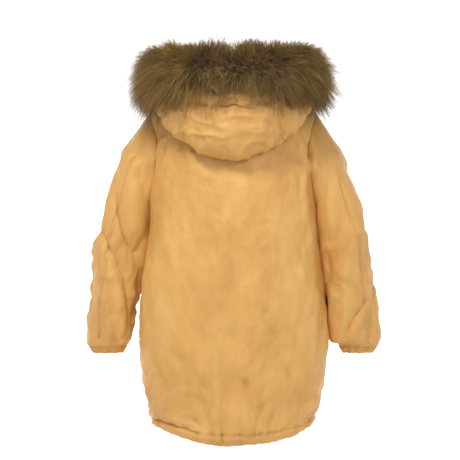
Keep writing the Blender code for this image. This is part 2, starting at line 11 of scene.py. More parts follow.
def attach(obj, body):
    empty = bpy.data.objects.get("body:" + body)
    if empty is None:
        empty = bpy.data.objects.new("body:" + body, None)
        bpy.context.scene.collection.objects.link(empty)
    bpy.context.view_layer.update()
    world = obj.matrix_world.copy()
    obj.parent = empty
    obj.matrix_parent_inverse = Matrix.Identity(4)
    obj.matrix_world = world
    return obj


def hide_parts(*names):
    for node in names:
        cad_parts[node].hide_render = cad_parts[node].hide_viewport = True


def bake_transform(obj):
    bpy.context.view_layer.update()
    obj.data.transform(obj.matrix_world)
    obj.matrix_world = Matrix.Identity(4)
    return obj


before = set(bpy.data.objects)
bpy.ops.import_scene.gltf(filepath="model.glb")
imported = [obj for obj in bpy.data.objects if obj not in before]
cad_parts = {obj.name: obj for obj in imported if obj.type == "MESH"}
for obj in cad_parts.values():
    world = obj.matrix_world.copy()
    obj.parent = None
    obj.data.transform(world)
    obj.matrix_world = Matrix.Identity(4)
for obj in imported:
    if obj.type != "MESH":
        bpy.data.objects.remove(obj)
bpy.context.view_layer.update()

# ---- Dimensions, in metres, restated from the coat's pattern --------------------------------

SHIFT_Y = 0.018
HALF_WIDTH = (0.080, 0.140, 0.198, 0.201, 0.204, 0.211, 0.236, 0.226, 0.196)
SIDE_HEIGHT = (0.012, -0.003, -0.025, -0.110, -0.250, -0.340, -0.550, -0.700, -0.815)
BACK_HEIGHT = (0.000, -0.032, -0.080, -0.150, -0.260, -0.340, -0.550, -0.710, -0.850)
FRONT_HEIGHT = (-0.085, -0.115, -0.160, -0.210, -0.275, -0.345, -0.550, -0.705, -0.830)
SIDE_DEPTH = (-0.075, -0.078, -0.082, -0.085, -0.090, -0.092, -0.092, -0.090, -0.088)
BACK_DEPTH = (0.000, 0.020, 0.038, 0.049, 0.056, 0.058, 0.054, 0.048, 0.038)
ZIP_TOP = (-0.160, -0.085)
ZIP_BUST = (-0.225, -0.345)
ZIP_BOTTOM = (-0.203, -0.830)
ZIP_EDGE_X = 0.0075
HEM_STITCH = 7.80
SLEEVE_OUTER = ((0.270, -0.122), (0.312, -0.245), (0.3375, -0.345), (0.352, -0.445),
                (0.3605, -0.505), (0.3675, -0.580), (0.3700, -0.618), (0.3560, -0.642))
SLEEVE_INNER = ((0.2150, -0.262), (0.2185, -0.312), (0.2240, -0.362), (0.2350, -0.445),
                (0.2415, -0.505), (0.2520, -0.575), (0.2680, -0.615), (0.2840, -0.642))
SLEEVE_CENTRE_Y = (-0.087, -0.089, -0.091, -0.096, -0.101, -0.111, -0.118, -0.122)
SLEEVE_HALF_DEPTH = (0.069, 0.066, 0.064, 0.062, 0.060, 0.056, 0.048, 0.038)
ARMHOLE_ANGLE = math.radians(24)
SHOULDER_RING, ARMPIT_RING = 2.0, 4.0


# ---- Curves and surfaces --------------------------------------------------------------------


def mix(a, b, t):
    return a + (b - a) * t


def smooth(low, high, x):
    t = np.clip((x - low) / (high - low), 0, 1)
    return t * t * (3 - 2 * t)


def path(values, at):
    """A smooth curve through equally spaced values, read at fractional indices."""
    values = np.asarray(values, float)
    slope = np.gradient(values)
    at = np.clip(at, 0, len(values) - 1)
    low = np.minimum(at.astype(int), len(values) - 2)
    t = at - low
    a = 2 * t**3 - 3 * t**2 + 1
    b = t**3 - 2 * t**2 + t
    c = -2 * t**3 + 3 * t**2
    d = t**3 - t**2
    return a * values[low] + b * slope[low] + c * values[low + 1] + d * slope[low + 1]


def signed_power(value, power):
    return np.sign(value) * np.abs(value) ** power


def zip_depth(z):
    """Depth of the centre front: two straight lines that meet at the bust."""
    heights = (ZIP_BOTTOM[1], ZIP_BUST[1], ZIP_TOP[1])
    depths = (ZIP_BOTTOM[0], ZIP_BUST[0], ZIP_TOP[0])
    return np.interp(z, heights, depths)


def body(angle, ring):
    """The coat body: angle 0 at the wearer's left, 90 degrees at the back; ring 8 is the hem."""
    angle, ring = np.broadcast_arrays(np.asarray(angle, float), np.asarray(ring, float))
    power = 2 / (2.0 + 0.45 * np.minimum(ring / 4, 1.0))
    c = signed_power(np.cos(angle), power)
    d = signed_power(np.sin(angle), power)
    side_y = path(SIDE_DEPTH, ring)
    front_z = path(FRONT_HEIGHT, ring)
    back = d >= 0
    end_y = np.where(back, path(BACK_DEPTH, ring), zip_depth(front_z))
    end_z = np.where(back, path(BACK_HEIGHT, ring), front_z)
    x = path(HALF_WIDTH, ring) * c
    y = mix(side_y, end_y, np.abs(d)) + SHIFT_Y
    z = mix(end_z, path(SIDE_HEIGHT, ring), c * c)
    return np.stack((x, y, z), -1)


def front_angle(x, ring):
    share = np.minimum(x / path(HALF_WIDTH, ring), 1.0)
    squareness = 2.0 + 0.45 * np.minimum(ring / 4, 1.0)
    return -np.arccos(share ** (squareness / 2))


def armhole_angle(ring):
    share = np.clip((ring - SHOULDER_RING) / (ARMPIT_RING - SHOULDER_RING), 0, 1)
    return ARMHOLE_ANGLE * np.sin(math.pi * share) ** 0.6


def sleeve(side, ring, around):
    """A sleeve: ring 0 is the armhole, 4 the elbow and 8 the wrist. around 90 is the back."""
    ring, around = np.broadcast_arrays(np.asarray(ring, float), np.asarray(around, float))
    turn = np.cos(around)
    height = mix(SHOULDER_RING, ARMPIT_RING, (1 - turn) / 2)
    hole = body(armhole_angle(height) * np.where(np.sin(around) >= 0, 1, -1), height)
    at = np.maximum(ring - 1, 0)
    outer = [path([p[i] for p in SLEEVE_OUTER], at) for i in (0, 1)]
    inner = [path([p[i] for p in SLEEVE_INNER], at) for i in (0, 1)]
    c = signed_power(turn, 0.9)
    d = signed_power(np.sin(around), 0.9)
    tube = np.stack((
        (outer[0] + inner[0]) / 2 + (outer[0] - inner[0]) / 2 * c,
        path(SLEEVE_CENTRE_Y, at) + SHIFT_Y + path(SLEEVE_HALF_DEPTH, at) * d,
        (outer[1] + inner[1]) / 2 + (outer[1] - inner[1]) / 2 * c,
    ), -1)
    share = np.clip(ring, 0, 1)[..., None]
    point = mix(hole, tube, share)
    point[..., 0] *= side
    return point


# ---- The sewn coat, draped as one cloth -----------------------------------------------------

CELL = 0.0075

ARM_ROWS = int(0.26 / CELL)
YOKE_ROWS = int(0.13 / CELL)
SKIRT_ROWS = int(0.57 / CELL)
ARM_RINGS = SHOULDER_RING + 1 - np.cos(np.linspace(0, math.pi, ARM_ROWS + 1))
ROWS = np.concatenate((
    np.linspace(0, SHOULDER_RING, YOKE_ROWS + 1),
    ARM_RINGS[1:],
    np.linspace(ARMPIT_RING, HEM_STITCH, SKIRT_ROWS + 1)[1:],
    np.linspace(HEM_STITCH, 8.0, 4)[1:],
))
BACK_COLS = int(0.56 / CELL)
FRONT_COLS = int(0.27 / CELL)
SLEEVE_ROWS = int(0.60 / CELL)
AROUND_HALF = np.arccos(np.clip(3 - ARM_RINGS, -1, 1))
AROUND = np.concatenate((AROUND_HALF, 2 * math.pi - AROUND_HALF[::-1][1:]))


def back_grid():
    edge = armhole_angle(ROWS)[:, None]
    across = np.linspace(0, 1, BACK_COLS + 1)[None, :]
    return body(mix(edge, math.pi - edge, across), ROWS[:, None])


def front_grid(side):
    start = front_angle(ZIP_EDGE_X, ROWS)[:, None]
    edge = -armhole_angle(ROWS)[:, None]
    across = np.linspace(0, 1, FRONT_COLS + 1)[None, :]
    points = body(mix(start, edge, across), ROWS[:, None])
    points[..., 0] *= side
    return points


def sleeve_grid(side):
    rings = np.linspace(0, 8, SLEEVE_ROWS + 1)[:, None]
    return sleeve(side, rings, AROUND[None, :])


class Panel:
    """A grid of points of the draped coat, kept so that seams and pieces can be read off it."""

    def __init__(self, points):
        self.rest = points
        self.points = points.copy()


panels = {"back": Panel(back_grid())}
for side, hand in ((1, "left"), (-1, "right")):
    panels[f"front_{hand}"] = Panel(front_grid(side))
    panels[f"sleeve_{hand}"] = Panel(sleeve_grid(side))


def grid_faces(index):
    a, b = index[:-1, :-1], index[:-1, 1:]
    c, d = index[1:, 1:], index[1:, :-1]
    faces = np.stack((a, b, c, d), -1).reshape(-1, 4)
    distinct = np.array([len(set(face)) == 4 for face in faces.tolist()])
    return faces[distinct]


def new_mesh(name, points, faces):
    mesh = bpy.data.meshes.new(name)
    mesh.from_pydata(points.tolist(), [], faces.tolist())
    mesh.update()
    return mesh


def outward_mesh(name, points, faces):
    """A mesh whose faces all point out."""
    mesh = new_mesh(name, points, faces)
    shape = bmesh.new()
    shape.from_mesh(mesh)
    bmesh.ops.recalc_face_normals(shape, faces=shape.faces)
    shape.to_mesh(mesh)
    shape.free()
    return mesh


def link(name, mesh):
    obj = bpy.data.objects.new(name, mesh)
    bpy.context.scene.collection.objects.link(obj)
    return obj


def welded(grids):
    """One mesh from several grids that share edges, and each grid's indices into it."""
    sizes = [grid.shape[0] * grid.shape[1] for grid in grids]
    points = np.concatenate([grid.reshape(-1, 3) for grid in grids])
    bins = {}
    index = np.empty(len(points), np.int64)
    kept = []
    cells = np.floor(points / 0.001).astype(int)
    for i, (cell, point) in enumerate(zip(map(tuple, cells), points)):
        match = None
        for dx in (-1, 0, 1):
            for dy in (-1, 0, 1):
                for dz in (-1, 0, 1):
                    for j in bins.get((cell[0] + dx, cell[1] + dy, cell[2] + dz), ()):
                        if abs(kept[j] - point).max() < 1e-4:
                            match = j
        if match is None:
            match = len(kept)
            kept.append(point)
            bins.setdefault(cell, []).append(match)
        index[i] = match
    start = np.cumsum([0] + sizes)
    split = [index[start[k]:start[k + 1]].reshape(grid.shape[:2])
             for k, grid in enumerate(grids)]
    return np.array(kept), split


CLOTH_SETTINGS = {
    "quality": 6, "mass": 0.25, "tension_stiffness": 25, "compression_stiffness": 25,
    "shear_stiffness": 8, "bending_stiffness": 0.35, "air_damping": 3,
}


def drape(points, faces, pattern, pin, collider, frames):
    """Cloth cut to the size of pattern, laid at points, hanging over a collider."""
    cloth_obj = link("cloth", outward_mesh("cloth", points, faces))
    cloth_obj.shape_key_add(name="Basis")
    cut = cloth_obj.shape_key_add(name="pattern")
    cut.data.foreach_set("co", pattern.astype(np.float32).ravel())
    cut.value = 0.0
    group = cloth_obj.vertex_groups.new(name="pin")
    for weight in np.unique(pin[pin > 0]):
        group.add(np.nonzero(pin == weight)[0].tolist(), float(weight), "REPLACE")
    form = link("form", collider)
    form.modifiers.new("collision", "COLLISION")
    form.collision.thickness_outer = 0.002
    form.collision.cloth_friction = 4.0
    modifier = cloth_obj.modifiers.new("cloth", "CLOTH")
    for setting, value in CLOTH_SETTINGS.items():
        setattr(modifier.settings, setting, value)
    modifier.settings.vertex_group_mass = "pin"
    modifier.settings.rest_shape_key = cut
    modifier.collision_settings.collision_quality = 2
    modifier.collision_settings.distance_min = 0.002
    modifier.collision_settings.use_self_collision = False
    modifier.point_cache.frame_start = 1
    modifier.point_cache.frame_end = frames
    scene = bpy.context.scene
    for step in range(1, frames + 1):
        scene.frame_set(step)
    shaped = cloth_obj.evaluated_get(bpy.context.evaluated_depsgraph_get())
    result = np.empty(len(points) * 3, np.float32)
    shaped.data.vertices.foreach_get("co", result)
    bpy.data.objects.remove(cloth_obj)
    bpy.data.objects.remove(form)
    scene.frame_set(1)
    return result.reshape(-1, 3).astype(float)


order = list(panels)
welded_points, indices = welded([panels[name].rest for name in order])
faces = np.concatenate([grid_faces(index) for index in indices])

# How far each point may leave the plain shape, and where it is held.
free = np.ones(len(welded_points))
pin = np.zeros(len(welded_points))
arm = np.zeros(len(welded_points))
for name, index in zip(order, indices):
    if name.startswith("sleeve"):
        ring = np.linspace(0, 8, len(index))[:, None] * np.ones(index.shape)
        free[index] = smooth(8.0, 7.6, ring)
        arm[index[1:]] = smooth(0, 1.5, ring[1:])
        pin[index[-1]] = 1.0
        pin[index[0]] = np.maximum(pin[index[0]], 0.3)
    else:
        rows = ROWS[:, None] * np.ones(index.shape)
        held = smooth(0.0, 1.0, rows) * smooth(8.0, 7.85, rows)
        if name.startswith("front"):
            column = np.arange(index.shape[1])[None, :] * CELL
            held = held * smooth(0.0, 0.05, column)
            pin[index[:, :2]] = 1.0
        free[index] = held
        pin[index[ROWS < 0.3]] = 1.0
        pin[index[ROWS >= 7.95]] = 1.0


def soft_noise(points, scale, seed):
    """Smooth noise from -1 to 1 at points, with its own scale along each axis."""
    at = points * np.asarray(scale) + seed * 17.3
    return np.array([noise.noise(point) for point in at.tolist()]) * 1.5


def ridges(points, scale, seed, sharp=1.5):
    """Creases: narrow ridges that wander where the noise crosses zero."""
    return np.clip(1 - np.abs(soft_noise(points, scale, seed)) * 1.6, 0, 1) ** sharp


def fold_height(points, arm, free):
    """Height of the folds of the coat over its plain shape."""
    bend = np.stack([soft_noise(points, (3, 3, 2.2), 40 + k) for k in range(3)], -1)
    warped = points + bend * np.array([0.045, 0.045, 0.02])
    x, z = points[:, 0], points[:, 2]
    trunk = 1 - arm
    lean = warped.copy()
    lean[:, 0] += lean[:, 2] * 0.55 * np.tanh(points[:, 0] / 0.08)
    hem = smooth(-0.60, -0.80, z) * trunk
    hole = np.exp(-((np.abs(x) - 0.200) / 0.045) ** 2) * smooth(-0.34, -0.22, z)
    hole = hole * smooth(0.02, -0.04, z)
    wrist = smooth(-0.54, -0.635, z) * arm
    elbow = np.exp(-((z + 0.40) / 0.09) ** 2) * arm
    height = 0.0050 * soft_noise(warped, (11, 11, 2.4), 1)
    height += trunk * 0.0050 * ridges(warped, (8.5, 8.5, 1.5), 12, 2.2)
    height += trunk * 0.0052 * ridges(lean, (12, 12, 4.5), 3, 1.8)
    height += arm * 0.0140 * ridges(warped, (15, 15, 2.4), 4, 1.6)
    height -= arm * 0.0150 * ridges(warped, (14, 14, 2.6), 5, 2.6)
    height += elbow * 0.0100 * ridges(lean, (10, 10, 17), 6)
    height += hole * 0.0150 * ridges(lean, (22, 22, 6.5), 7, 1.8)
    height += hem * 0.0100 * ridges(lean, (19, 19, 7), 8, 1.8)
    height += wrist * 0.0085 * ridges(warped, (40, 40, 7), 9)
    height += 0.0014 * soft_noise(points, (48, 48, 30), 10)
    height += 0.0026 * ridges(lean, (36, 36, 17), 11, 1.8)
    height -= arm * 0.0060 * smooth(0.30, 0.345, np.abs(x))
    # The patch pockets stiffen the cloth that they are sewn to.
    wide = smooth(0.085, 0.060, np.abs(np.abs(x) - 0.143))
    pocket = wide * smooth(0.105, 0.080, np.abs(z + 0.470)) * smooth(-0.10, -0.13, points[:, 1])
    return height * free * (1 - 0.85 * pocket)


plain = outward_mesh("plain", welded_points, faces)
outward = np.empty(len(welded_points) * 3, np.float32)
plain.vertices.foreach_get("normal", outward)
outward = outward.reshape(-1, 3).astype(float)
quads = np.array(faces)
pairs = np.concatenate([quads[:, [k, (k + 1) % 4]] for k in range(4)])
pairs = np.concatenate((pairs, pairs[:, ::-1]))
links = np.maximum(np.bincount(pairs[:, 0], minlength=len(outward)), 1)[:, None]


def evened(values, times, share=0.7):
    """Vectors of the welded cloth, evened out over their neighbours."""
    for _ in range(times):
        even = np.stack([np.bincount(pairs[:, 0], values[pairs[:, 1], k], len(values))
                         for k in range(3)], -1) / links
        values = mix(values, even, share)
    return values


outward = evened(outward, 6)
outward /= np.maximum(np.linalg.norm(outward, axis=1, keepdims=True), 1e-9)
height = fold_height(welded_points, arm, free)
start = welded_points + outward * (height - 0.002 * free)[:, None]

# The cloth is cut to the folded shape and a little longer, then it settles on the body.
pattern = start.copy()
pattern[:, 2] += np.minimum(pattern[:, 2] + 0.10, 0) * 0.010
form_points = welded_points - outward * 0.009
FRAMES = 12
draped = drape(start, faces, pattern, pin, outward_mesh("form", form_points, faces), FRAMES)
move = draped - start
length = np.linalg.norm(move, axis=1, keepdims=True)
LARGEST_MOVE = 0.012
draped = start + evened(move * np.minimum(1, LARGEST_MOVE / np.maximum(length, 1e-9)), 8)

# The rows are close together at the ends of the armholes, so the folds are evened there.
ends = np.concatenate([panels[name].rest[row, [0, -1]] for name in order if name == "back"
                       for row in (np.argmin(np.abs(ROWS - SHOULDER_RING)),
                                   np.argmin(np.abs(ROWS - ARMPIT_RING)))])
far = np.linalg.norm(welded_points[:, None] - ends[None], axis=-1).min(axis=1)
share = (0.9 * np.exp(-(far / 0.050) ** 2))[:, None]
draped = welded_points + evened(draped - welded_points, 60, share)
for name, index in zip(order, indices):
    panels[name].points = draped[index]
    if name.startswith("sleeve"):
        continue
    # The rows are close together at the ends of the armhole, so the folds are evened there.
    shift = panels[name].points - panels[name].rest
    level = panels[name].rest[..., 2].mean(axis=1)
    share = np.exp(-((level - level[np.argmin(np.abs(ROWS - ARMPIT_RING))]) / 0.022) ** 2)
    share += np.exp(-((level - level[np.argmin(np.abs(ROWS - SHOULDER_RING))]) / 0.016) ** 2)
    column = np.arange(index.shape[1])
    inner = smooth(0, 4, np.minimum(column, column[::-1]))
    near = np.exp(-((level[:, None] - level[None, :]) / 0.015) ** 2)
    near *= np.abs(np.gradient(level))[None, :]
    even = np.tensordot(near / near.sum(axis=1, keepdims=True), shift, 1)
    shift = mix(shift, even, (np.clip(share, 0, 1)[:, None] * inner[None, :])[..., None])
    panels[name].points = panels[name].rest + shift

# ---- Pieces cut from the draped coat --------------------------------------------------------


def resample(grid, at):
    """Rows of a grid at fractional row numbers, along smooth curves."""
    slope = np.gradient(grid, axis=0)
    low = np.minimum(at.astype(int), len(grid) - 2)
    t = (at - low).reshape((-1,) + (1,) * (grid.ndim - 1))
    return ((2 * t**3 - 3 * t**2 + 1) * grid[low] + (t**3 - 2 * t**2 + t) * slope[low]
            + (3 * t**2 - 2 * t**3) * grid[low + 1] + (t**3 - t**2) * slope[low + 1])


def finer(grid, factor=2):
    """The same surface with more rows and columns."""
    rows = np.linspace(0, grid.shape[0] - 1, (grid.shape[0] - 1) * factor + 1)
    columns = np.linspace(0, grid.shape[1] - 1, (grid.shape[1] - 1) * factor + 1)
    grid = resample(grid, rows)
    return resample(grid.transpose(1, 0, 2), columns).transpose(1, 0, 2)


class Cloth:
    """A grid of points with outward normals. A closed one has equal first and last columns."""

    def __init__(self, points, inside, closed=False):
        self.points, self.inside, self.closed = points, inside, closed
        self.update()

    def update(self):
        points = self.points
        down = np.gradient(points, axis=0)
        across = np.gradient(points, axis=1)
        if self.closed:
            across[:, 0] = across[:, -1] = (points[:, 1] - points[:, -2]) / 2
            down[:, 0] = down[:, -1] = (down[:, 0] + down[:, -1]) / 2
        normal = np.cross(across, down)
        normal /= np.maximum(np.linalg.norm(normal, axis=-1, keepdims=True), 1e-12)
        self.turn = np.sign((normal * (points - self.inside(points))).sum()) or 1.0
        self.normal = normal * self.turn
        step = np.linalg.norm(np.diff(points, axis=1), axis=-1)
        self.across = np.pad(np.cumsum(step, axis=1), ((0, 0), (1, 0)))
        step = np.linalg.norm(np.diff(points, axis=0), axis=-1)
        self.down = np.pad(np.cumsum(step, axis=0), ((1, 0), (0, 0)))

    def raised(self, height):
        """The same cloth with every point moved out by a height."""
        return Cloth(self.points + self.normal * np.broadcast_to(
            height, self.points.shape[:2])[..., None], self.inside, self.closed)

    def cut(self, rows=slice(None), columns=slice(None)):
        part = object.__new__(Cloth)
        closed = self.closed and columns == slice(None)
        part.points, part.normal = self.points[rows, columns], self.normal[rows, columns]
        part.across, part.down = self.across[rows, columns], self.down[rows, columns]
        part.inside, part.turn, part.closed = self.inside, self.turn, closed
        return part

    def at(self, rows, columns):
        """Points and normals at fractional rows and columns."""
        rows, columns = np.broadcast_arrays(np.asarray(rows, float), np.asarray(columns, float))
        low_row = np.clip(rows.astype(int), 0, self.points.shape[0] - 2)
        low_column = np.clip(columns.astype(int), 0, self.points.shape[1] - 2)
        r = (rows - low_row)[..., None]
        c = (columns - low_column)[..., None]
        found = []
        for values in (self.points, self.normal):
            top = mix(values[low_row, low_column], values[low_row, low_column + 1], c)
            low = mix(values[low_row + 1, low_column], values[low_row + 1, low_column + 1], c)
            found.append(mix(top, low, r))
        return found


def line_noise(length, pitch, seed):
    """Smooth noise along a line of lengths in metres."""
    return np.array([noise.noise((v / pitch, seed * 7.7, 0.5)) for v in length]) * 1.6


def seam_relief(distances, lines, seed, groove=0.0040, pucker=0.0011):
    """Height next to seams: nothing on them, full beside them, with puckers running away.

    lines holds, for each seam, the lengths along it: down the rows or across the columns.
    """
    sunk, waves = 1.0, 0.0
    for number, (distance, along) in enumerate(zip(distances, lines)):
        wave = line_noise(along, 0.0085, seed + number) * pucker
        down = distance.shape[0] == len(along)
        wave = wave.reshape((-1, 1) if down else (1, -1))
        sunk = sunk * (1 - np.exp(-(distance / 0.0032) ** 2))
        waves = waves + wave * np.exp(-(distance / 0.012) ** 2)
    return sunk * (groove + waves)


def painted_fold_shade(cloth):
    """How deep every point lies in a fold, from 0 to 1, for the painted shade that darkens the
    cloth's colour in its folds.
    """
    points = cloth.points
    pitch = max(np.median(np.linalg.norm(np.diff(points, axis=1), axis=-1)), 1e-5)
    found = np.zeros(points.shape[:2])
    for reach in (0.009, 0.020):
        k = max(1, round(reach / pitch))
        for axis in (0, 1):
            width = [(0, 0)] * 3
            width[axis] = (k, k)
            mode = "wrap" if cloth.closed and axis == 1 else "edge"
            wide = np.pad(points, width, mode=mode)
            low = np.take(wide, range(points.shape[axis]), axis)
            high = np.take(wide, range(2 * k, 2 * k + points.shape[axis]), axis)
            found += (((low + high) / 2 - points) * cloth.normal).sum(-1) / reach
    return smooth(0.08, 1.1, blurred(found, False, 5))


def solid(name, cloth, thick, material, closed_edges="tbse"):
    """A piece of cloth with a thickness.

    closed_edges names the edges with a rim: t, b, s and e for top, bottom, start and end.
    """
    outer, inner = cloth.points, cloth.points - cloth.normal * thick
    rows, columns = outer.shape[:2]
    index = np.arange(rows * columns).reshape(rows, columns)
    if cloth.closed:
        index[:, -1] = index[:, 0]
    back = index + rows * columns
    quads = [grid_quads(index, cloth.turn > 0), grid_quads(back, cloth.turn < 0)]
    kinds = [0] * len(quads[0]) + [1] * len(quads[1])
    lines = {"t": (index[0], back[0]), "b": (back[-1], index[-1]),
             "s": (back[:, 0], index[:, 0]), "e": (index[:, -1], back[:, -1])}
    for edge, (one, other) in lines.items():
        if edge in closed_edges and not (cloth.closed and edge in "se"):
            rim = np.stack((one[:-1], other[:-1], other[1:], one[1:]), -1)
            quads.append(rim if cloth.turn > 0 else rim[:, ::-1])
            kinds += [0] * len(rim)
    quads = np.concatenate(quads)
    points = np.concatenate((outer.reshape(-1, 3), inner.reshape(-1, 3)))
    mesh = bpy.data.meshes.new(name)
    mesh.from_pydata(points.tolist(), [], quads.tolist())
    across = cloth.across - (cloth.across[:, -1:] / 2 if name == "coat_back" else 0)
    flat = np.stack((across, cloth.down), -1).reshape(-1, 2)
    flat = np.concatenate((flat, flat))
    layer = mesh.uv_layers.new(name="UVMap")
    layer.data.foreach_set("uv", flat[quads.ravel()].astype(np.float32).ravel())
    mesh.materials.append(material)
    mesh.materials.append(material)  # the back has a slot of its own
    mesh.polygons.foreach_set("material_index", np.array(kinds, np.int32))
    # Painted shade: each point's fold depth is kept so that the cloth's colour darkens in the
    # folds.
    sunk = painted_fold_shade(cloth).ravel()
    layer = mesh.attributes.new("painted_fold_shade", "FLOAT", "POINT")
    layer.data.foreach_set("value", np.concatenate((sunk, sunk)).astype(np.float32))
    clean(mesh)
    return link(name, mesh)


def grid_quads(index, ahead):
    quads = np.stack((index[:-1, :-1], index[:-1, 1:], index[1:, 1:], index[1:, :-1]), -1)
    quads = quads.reshape(-1, 4)
    return quads if ahead else quads[:, ::-1]


def clean(mesh):
    """Merge the points that coincide, drop loose points and shade the mesh smooth."""
    shape = bmesh.new()
    shape.from_mesh(mesh)
    bmesh.ops.remove_doubles(shape, verts=shape.verts, dist=2e-5)
    bmesh.ops.delete(shape, geom=[v for v in shape.verts if not v.link_faces],
                     context="VERTS")
    shape.to_mesh(mesh)
    shape.free()
    mesh.shade_smooth()
    mesh.set_sharp_from_angle(angle=math.radians(70))


def turned_in(cloth, edge, depth=0.009, reach=0.018):
    """The cloth with an edge rolled round and folded back behind itself.

    edge is "bottom" for the last row or "start" for the first column.
    """
    points, normal = cloth.points, cloth.normal
    if edge == "start":
        points, normal = points[:, ::-1].transpose(1, 0, 2), normal[:, ::-1].transpose(1, 0, 2)
    last, out = points[-1], normal[-1]
    along = last - points[-2]
    along /= np.maximum(np.linalg.norm(along, axis=-1, keepdims=True), 1e-12)
    rolled = []
    for angle in np.linspace(20, 180, 7):
        a = math.radians(angle)
        rolled.append(last + along * (depth / 2) * math.sin(a)
                      - out * (depth / 2) * (1 - math.cos(a)))
    for step in np.linspace(0.25, 1, 4):
        rolled.append(last - out * depth - along * reach * step)
    points = np.concatenate((points, np.array(rolled)))
    if edge == "start":
        points = points.transpose(1, 0, 2)[:, ::-1]
    return Cloth(points, cloth.inside, cloth.closed)


def in_trunk(points):
    """The middle of the body next to each point."""
    middle = np.zeros_like(points)
    middle[..., 1] = -0.070
    middle[..., 2] = np.minimum(points[..., 2], -0.12) - 0.02
    return middle


def in_sleeve(side):
    def middle(points):
        down = np.clip((-0.14 - points[..., 2]) / 0.50, 0, 1)
        return np.stack((side * mix(0.215, 0.320, down), mix(-0.066, -0.103, down),
                         points[..., 2]), -1)
    return middle


# ---- Materials ------------------------------------------------------------------------------


def srgb(red, green, blue):
    return tuple(((c / 255 + 0.055) / 1.055) ** 2.4 for c in (red, green, blue)) + (1.0,)


class Look:
    """A material built from nodes."""

    def __init__(self, name, roughness=0.5, metallic=0.0):
        self.material = bpy.data.materials.new(name)
        self.material.use_nodes = True
        self.nodes = self.material.node_tree.nodes
        self.links = self.material.node_tree.links
        self.shader = self.nodes["Principled BSDF"]
        self.shader.inputs["Roughness"].default_value = roughness
        self.shader.inputs["Metallic"].default_value = metallic

    def add(self, kind, **inputs):
        node = self.nodes.new(kind)
        for name, value in inputs.items():
            name = name.replace("_", " ")
            if isinstance(value, bpy.types.NodeSocket):
                self.links.new(value, node.inputs[name])
            else:
                node.inputs[name].default_value = value
        return node

    def flat(self, scale):
        """The cloth's own coordinates in metres, scaled."""
        place = self.add("ShaderNodeMapping", Vector=self.add("ShaderNodeUVMap").outputs[0])
        place.inputs["Scale"].default_value = (*scale, 1)
        return place.outputs[0]

    def ramp(self, value, *stops):
        node = self.add("ShaderNodeValToRGB", Fac=value)
        stop = node.color_ramp.elements
        while len(stop) < len(stops):
            stop.new(0.5)
        for element, (at, colour) in zip(stop, stops):
            element.position, element.color = at, colour
        return node.outputs["Color"]

    def bump(self, height, distance, strength=1.0, below=None):
        node = self.add("ShaderNodeBump", Height=height, Distance=distance, Strength=strength)
        if below is not None:
            self.links.new(below, node.inputs["Normal"])
        self.links.new(node.outputs["Normal"], self.shader.inputs["Normal"])
        return node.outputs["Normal"]

    def noise(self, scale, size=1.0, detail=3.0, roughness=0.5):
        return self.add("ShaderNodeTexNoise", Vector=self.flat(scale), Scale=size, Detail=detail,
                        Roughness=roughness).outputs["Fac"]

    def weave(self, pitch, scale=(1, 1)):
        """Threads over and under: two waves across each other."""
        waves = []
        for direction in ("X", "Y"):
            wave = self.add("ShaderNodeTexWave", Vector=self.flat(scale),
                            Scale=0.314 / pitch, Distortion=0.6, Detail=1.0)
            wave.bands_direction = direction
            waves.append(wave.outputs["Fac"])
        mixed = self.nodes.new("ShaderNodeMath")
        mixed.operation = "MULTIPLY"
        self.links.new(waves[0], mixed.inputs[0])
        self.links.new(waves[1], mixed.inputs[1])
        return mixed.outputs[0]


def nylon(name, dark, middle, light, roughness=0.42, sheen=0.35, crease=1.0):
    look = Look(name, roughness)
    patches = look.noise((9, 6), detail=5, roughness=0.6)
    colour = look.ramp(patches, (0.28, dark), (0.5, middle), (0.74, light))
    # Painted shade: the colour is multiplied darker and warmer the deeper the cloth lies in a
    # fold.
    fold = look.add("ShaderNodeAttribute")
    fold.attribute_name = "painted_fold_shade"
    shade = look.ramp(fold.outputs["Fac"], (0.0, (1, 1, 1, 1)), (0.5, (0.82, 0.76, 0.69, 1)),
                      (1.0, (0.60, 0.50, 0.40, 1)))
    colour_with_painted_shade = look.nodes.new("ShaderNodeMixRGB")
    colour_with_painted_shade.blend_type = "MULTIPLY"
    colour_with_painted_shade.inputs["Fac"].default_value = 1.0
    look.links.new(colour, colour_with_painted_shade.inputs["Color1"])
    look.links.new(shade, colour_with_painted_shade.inputs["Color2"])
    look.links.new(colour_with_painted_shade.outputs["Color"], look.shader.inputs["Base Color"])
    look.shader.inputs["Sheen Weight"].default_value = sheen
    look.shader.inputs["Sheen Roughness"].default_value = 0.45
    look.shader.inputs["Sheen Tint"].default_value = light
    look.shader.inputs["Specular IOR Level"].default_value = 0.42
    gloss = look.add("ShaderNodeMapRange", Value=look.noise((30, 22), detail=4))
    gloss.inputs["To Min"].default_value = roughness - 0.07
    gloss.inputs["To Max"].default_value = roughness + 0.12
    look.links.new(gloss.outputs[0], look.shader.inputs["Roughness"])
    first = look.bump(look.noise((70, 38), detail=6, roughness=0.62), 0.0018 * crease)
    second = look.bump(look.noise((230, 170), detail=4, roughness=0.6), 0.00030 * crease,
                       below=first)
    look.bump(look.weave(0.0009), 0.00008, below=second)
    return look.material


def plain_cloth(name, colour, pitch, depth, roughness=0.75, sheen=0.2):
    look = Look(name, roughness)
    lighter = tuple(min(1, c * 1.25) for c in colour[:3]) + (1,)
    darker = tuple(c * 0.75 for c in colour[:3]) + (1,)
    tint = look.ramp(look.noise((60, 60), detail=4), (0.3, darker), (0.7, lighter))
    look.links.new(tint, look.shader.inputs["Base Color"])
    look.shader.inputs["Sheen Weight"].default_value = sheen
    look.bump(look.weave(pitch), depth)
    return look.material


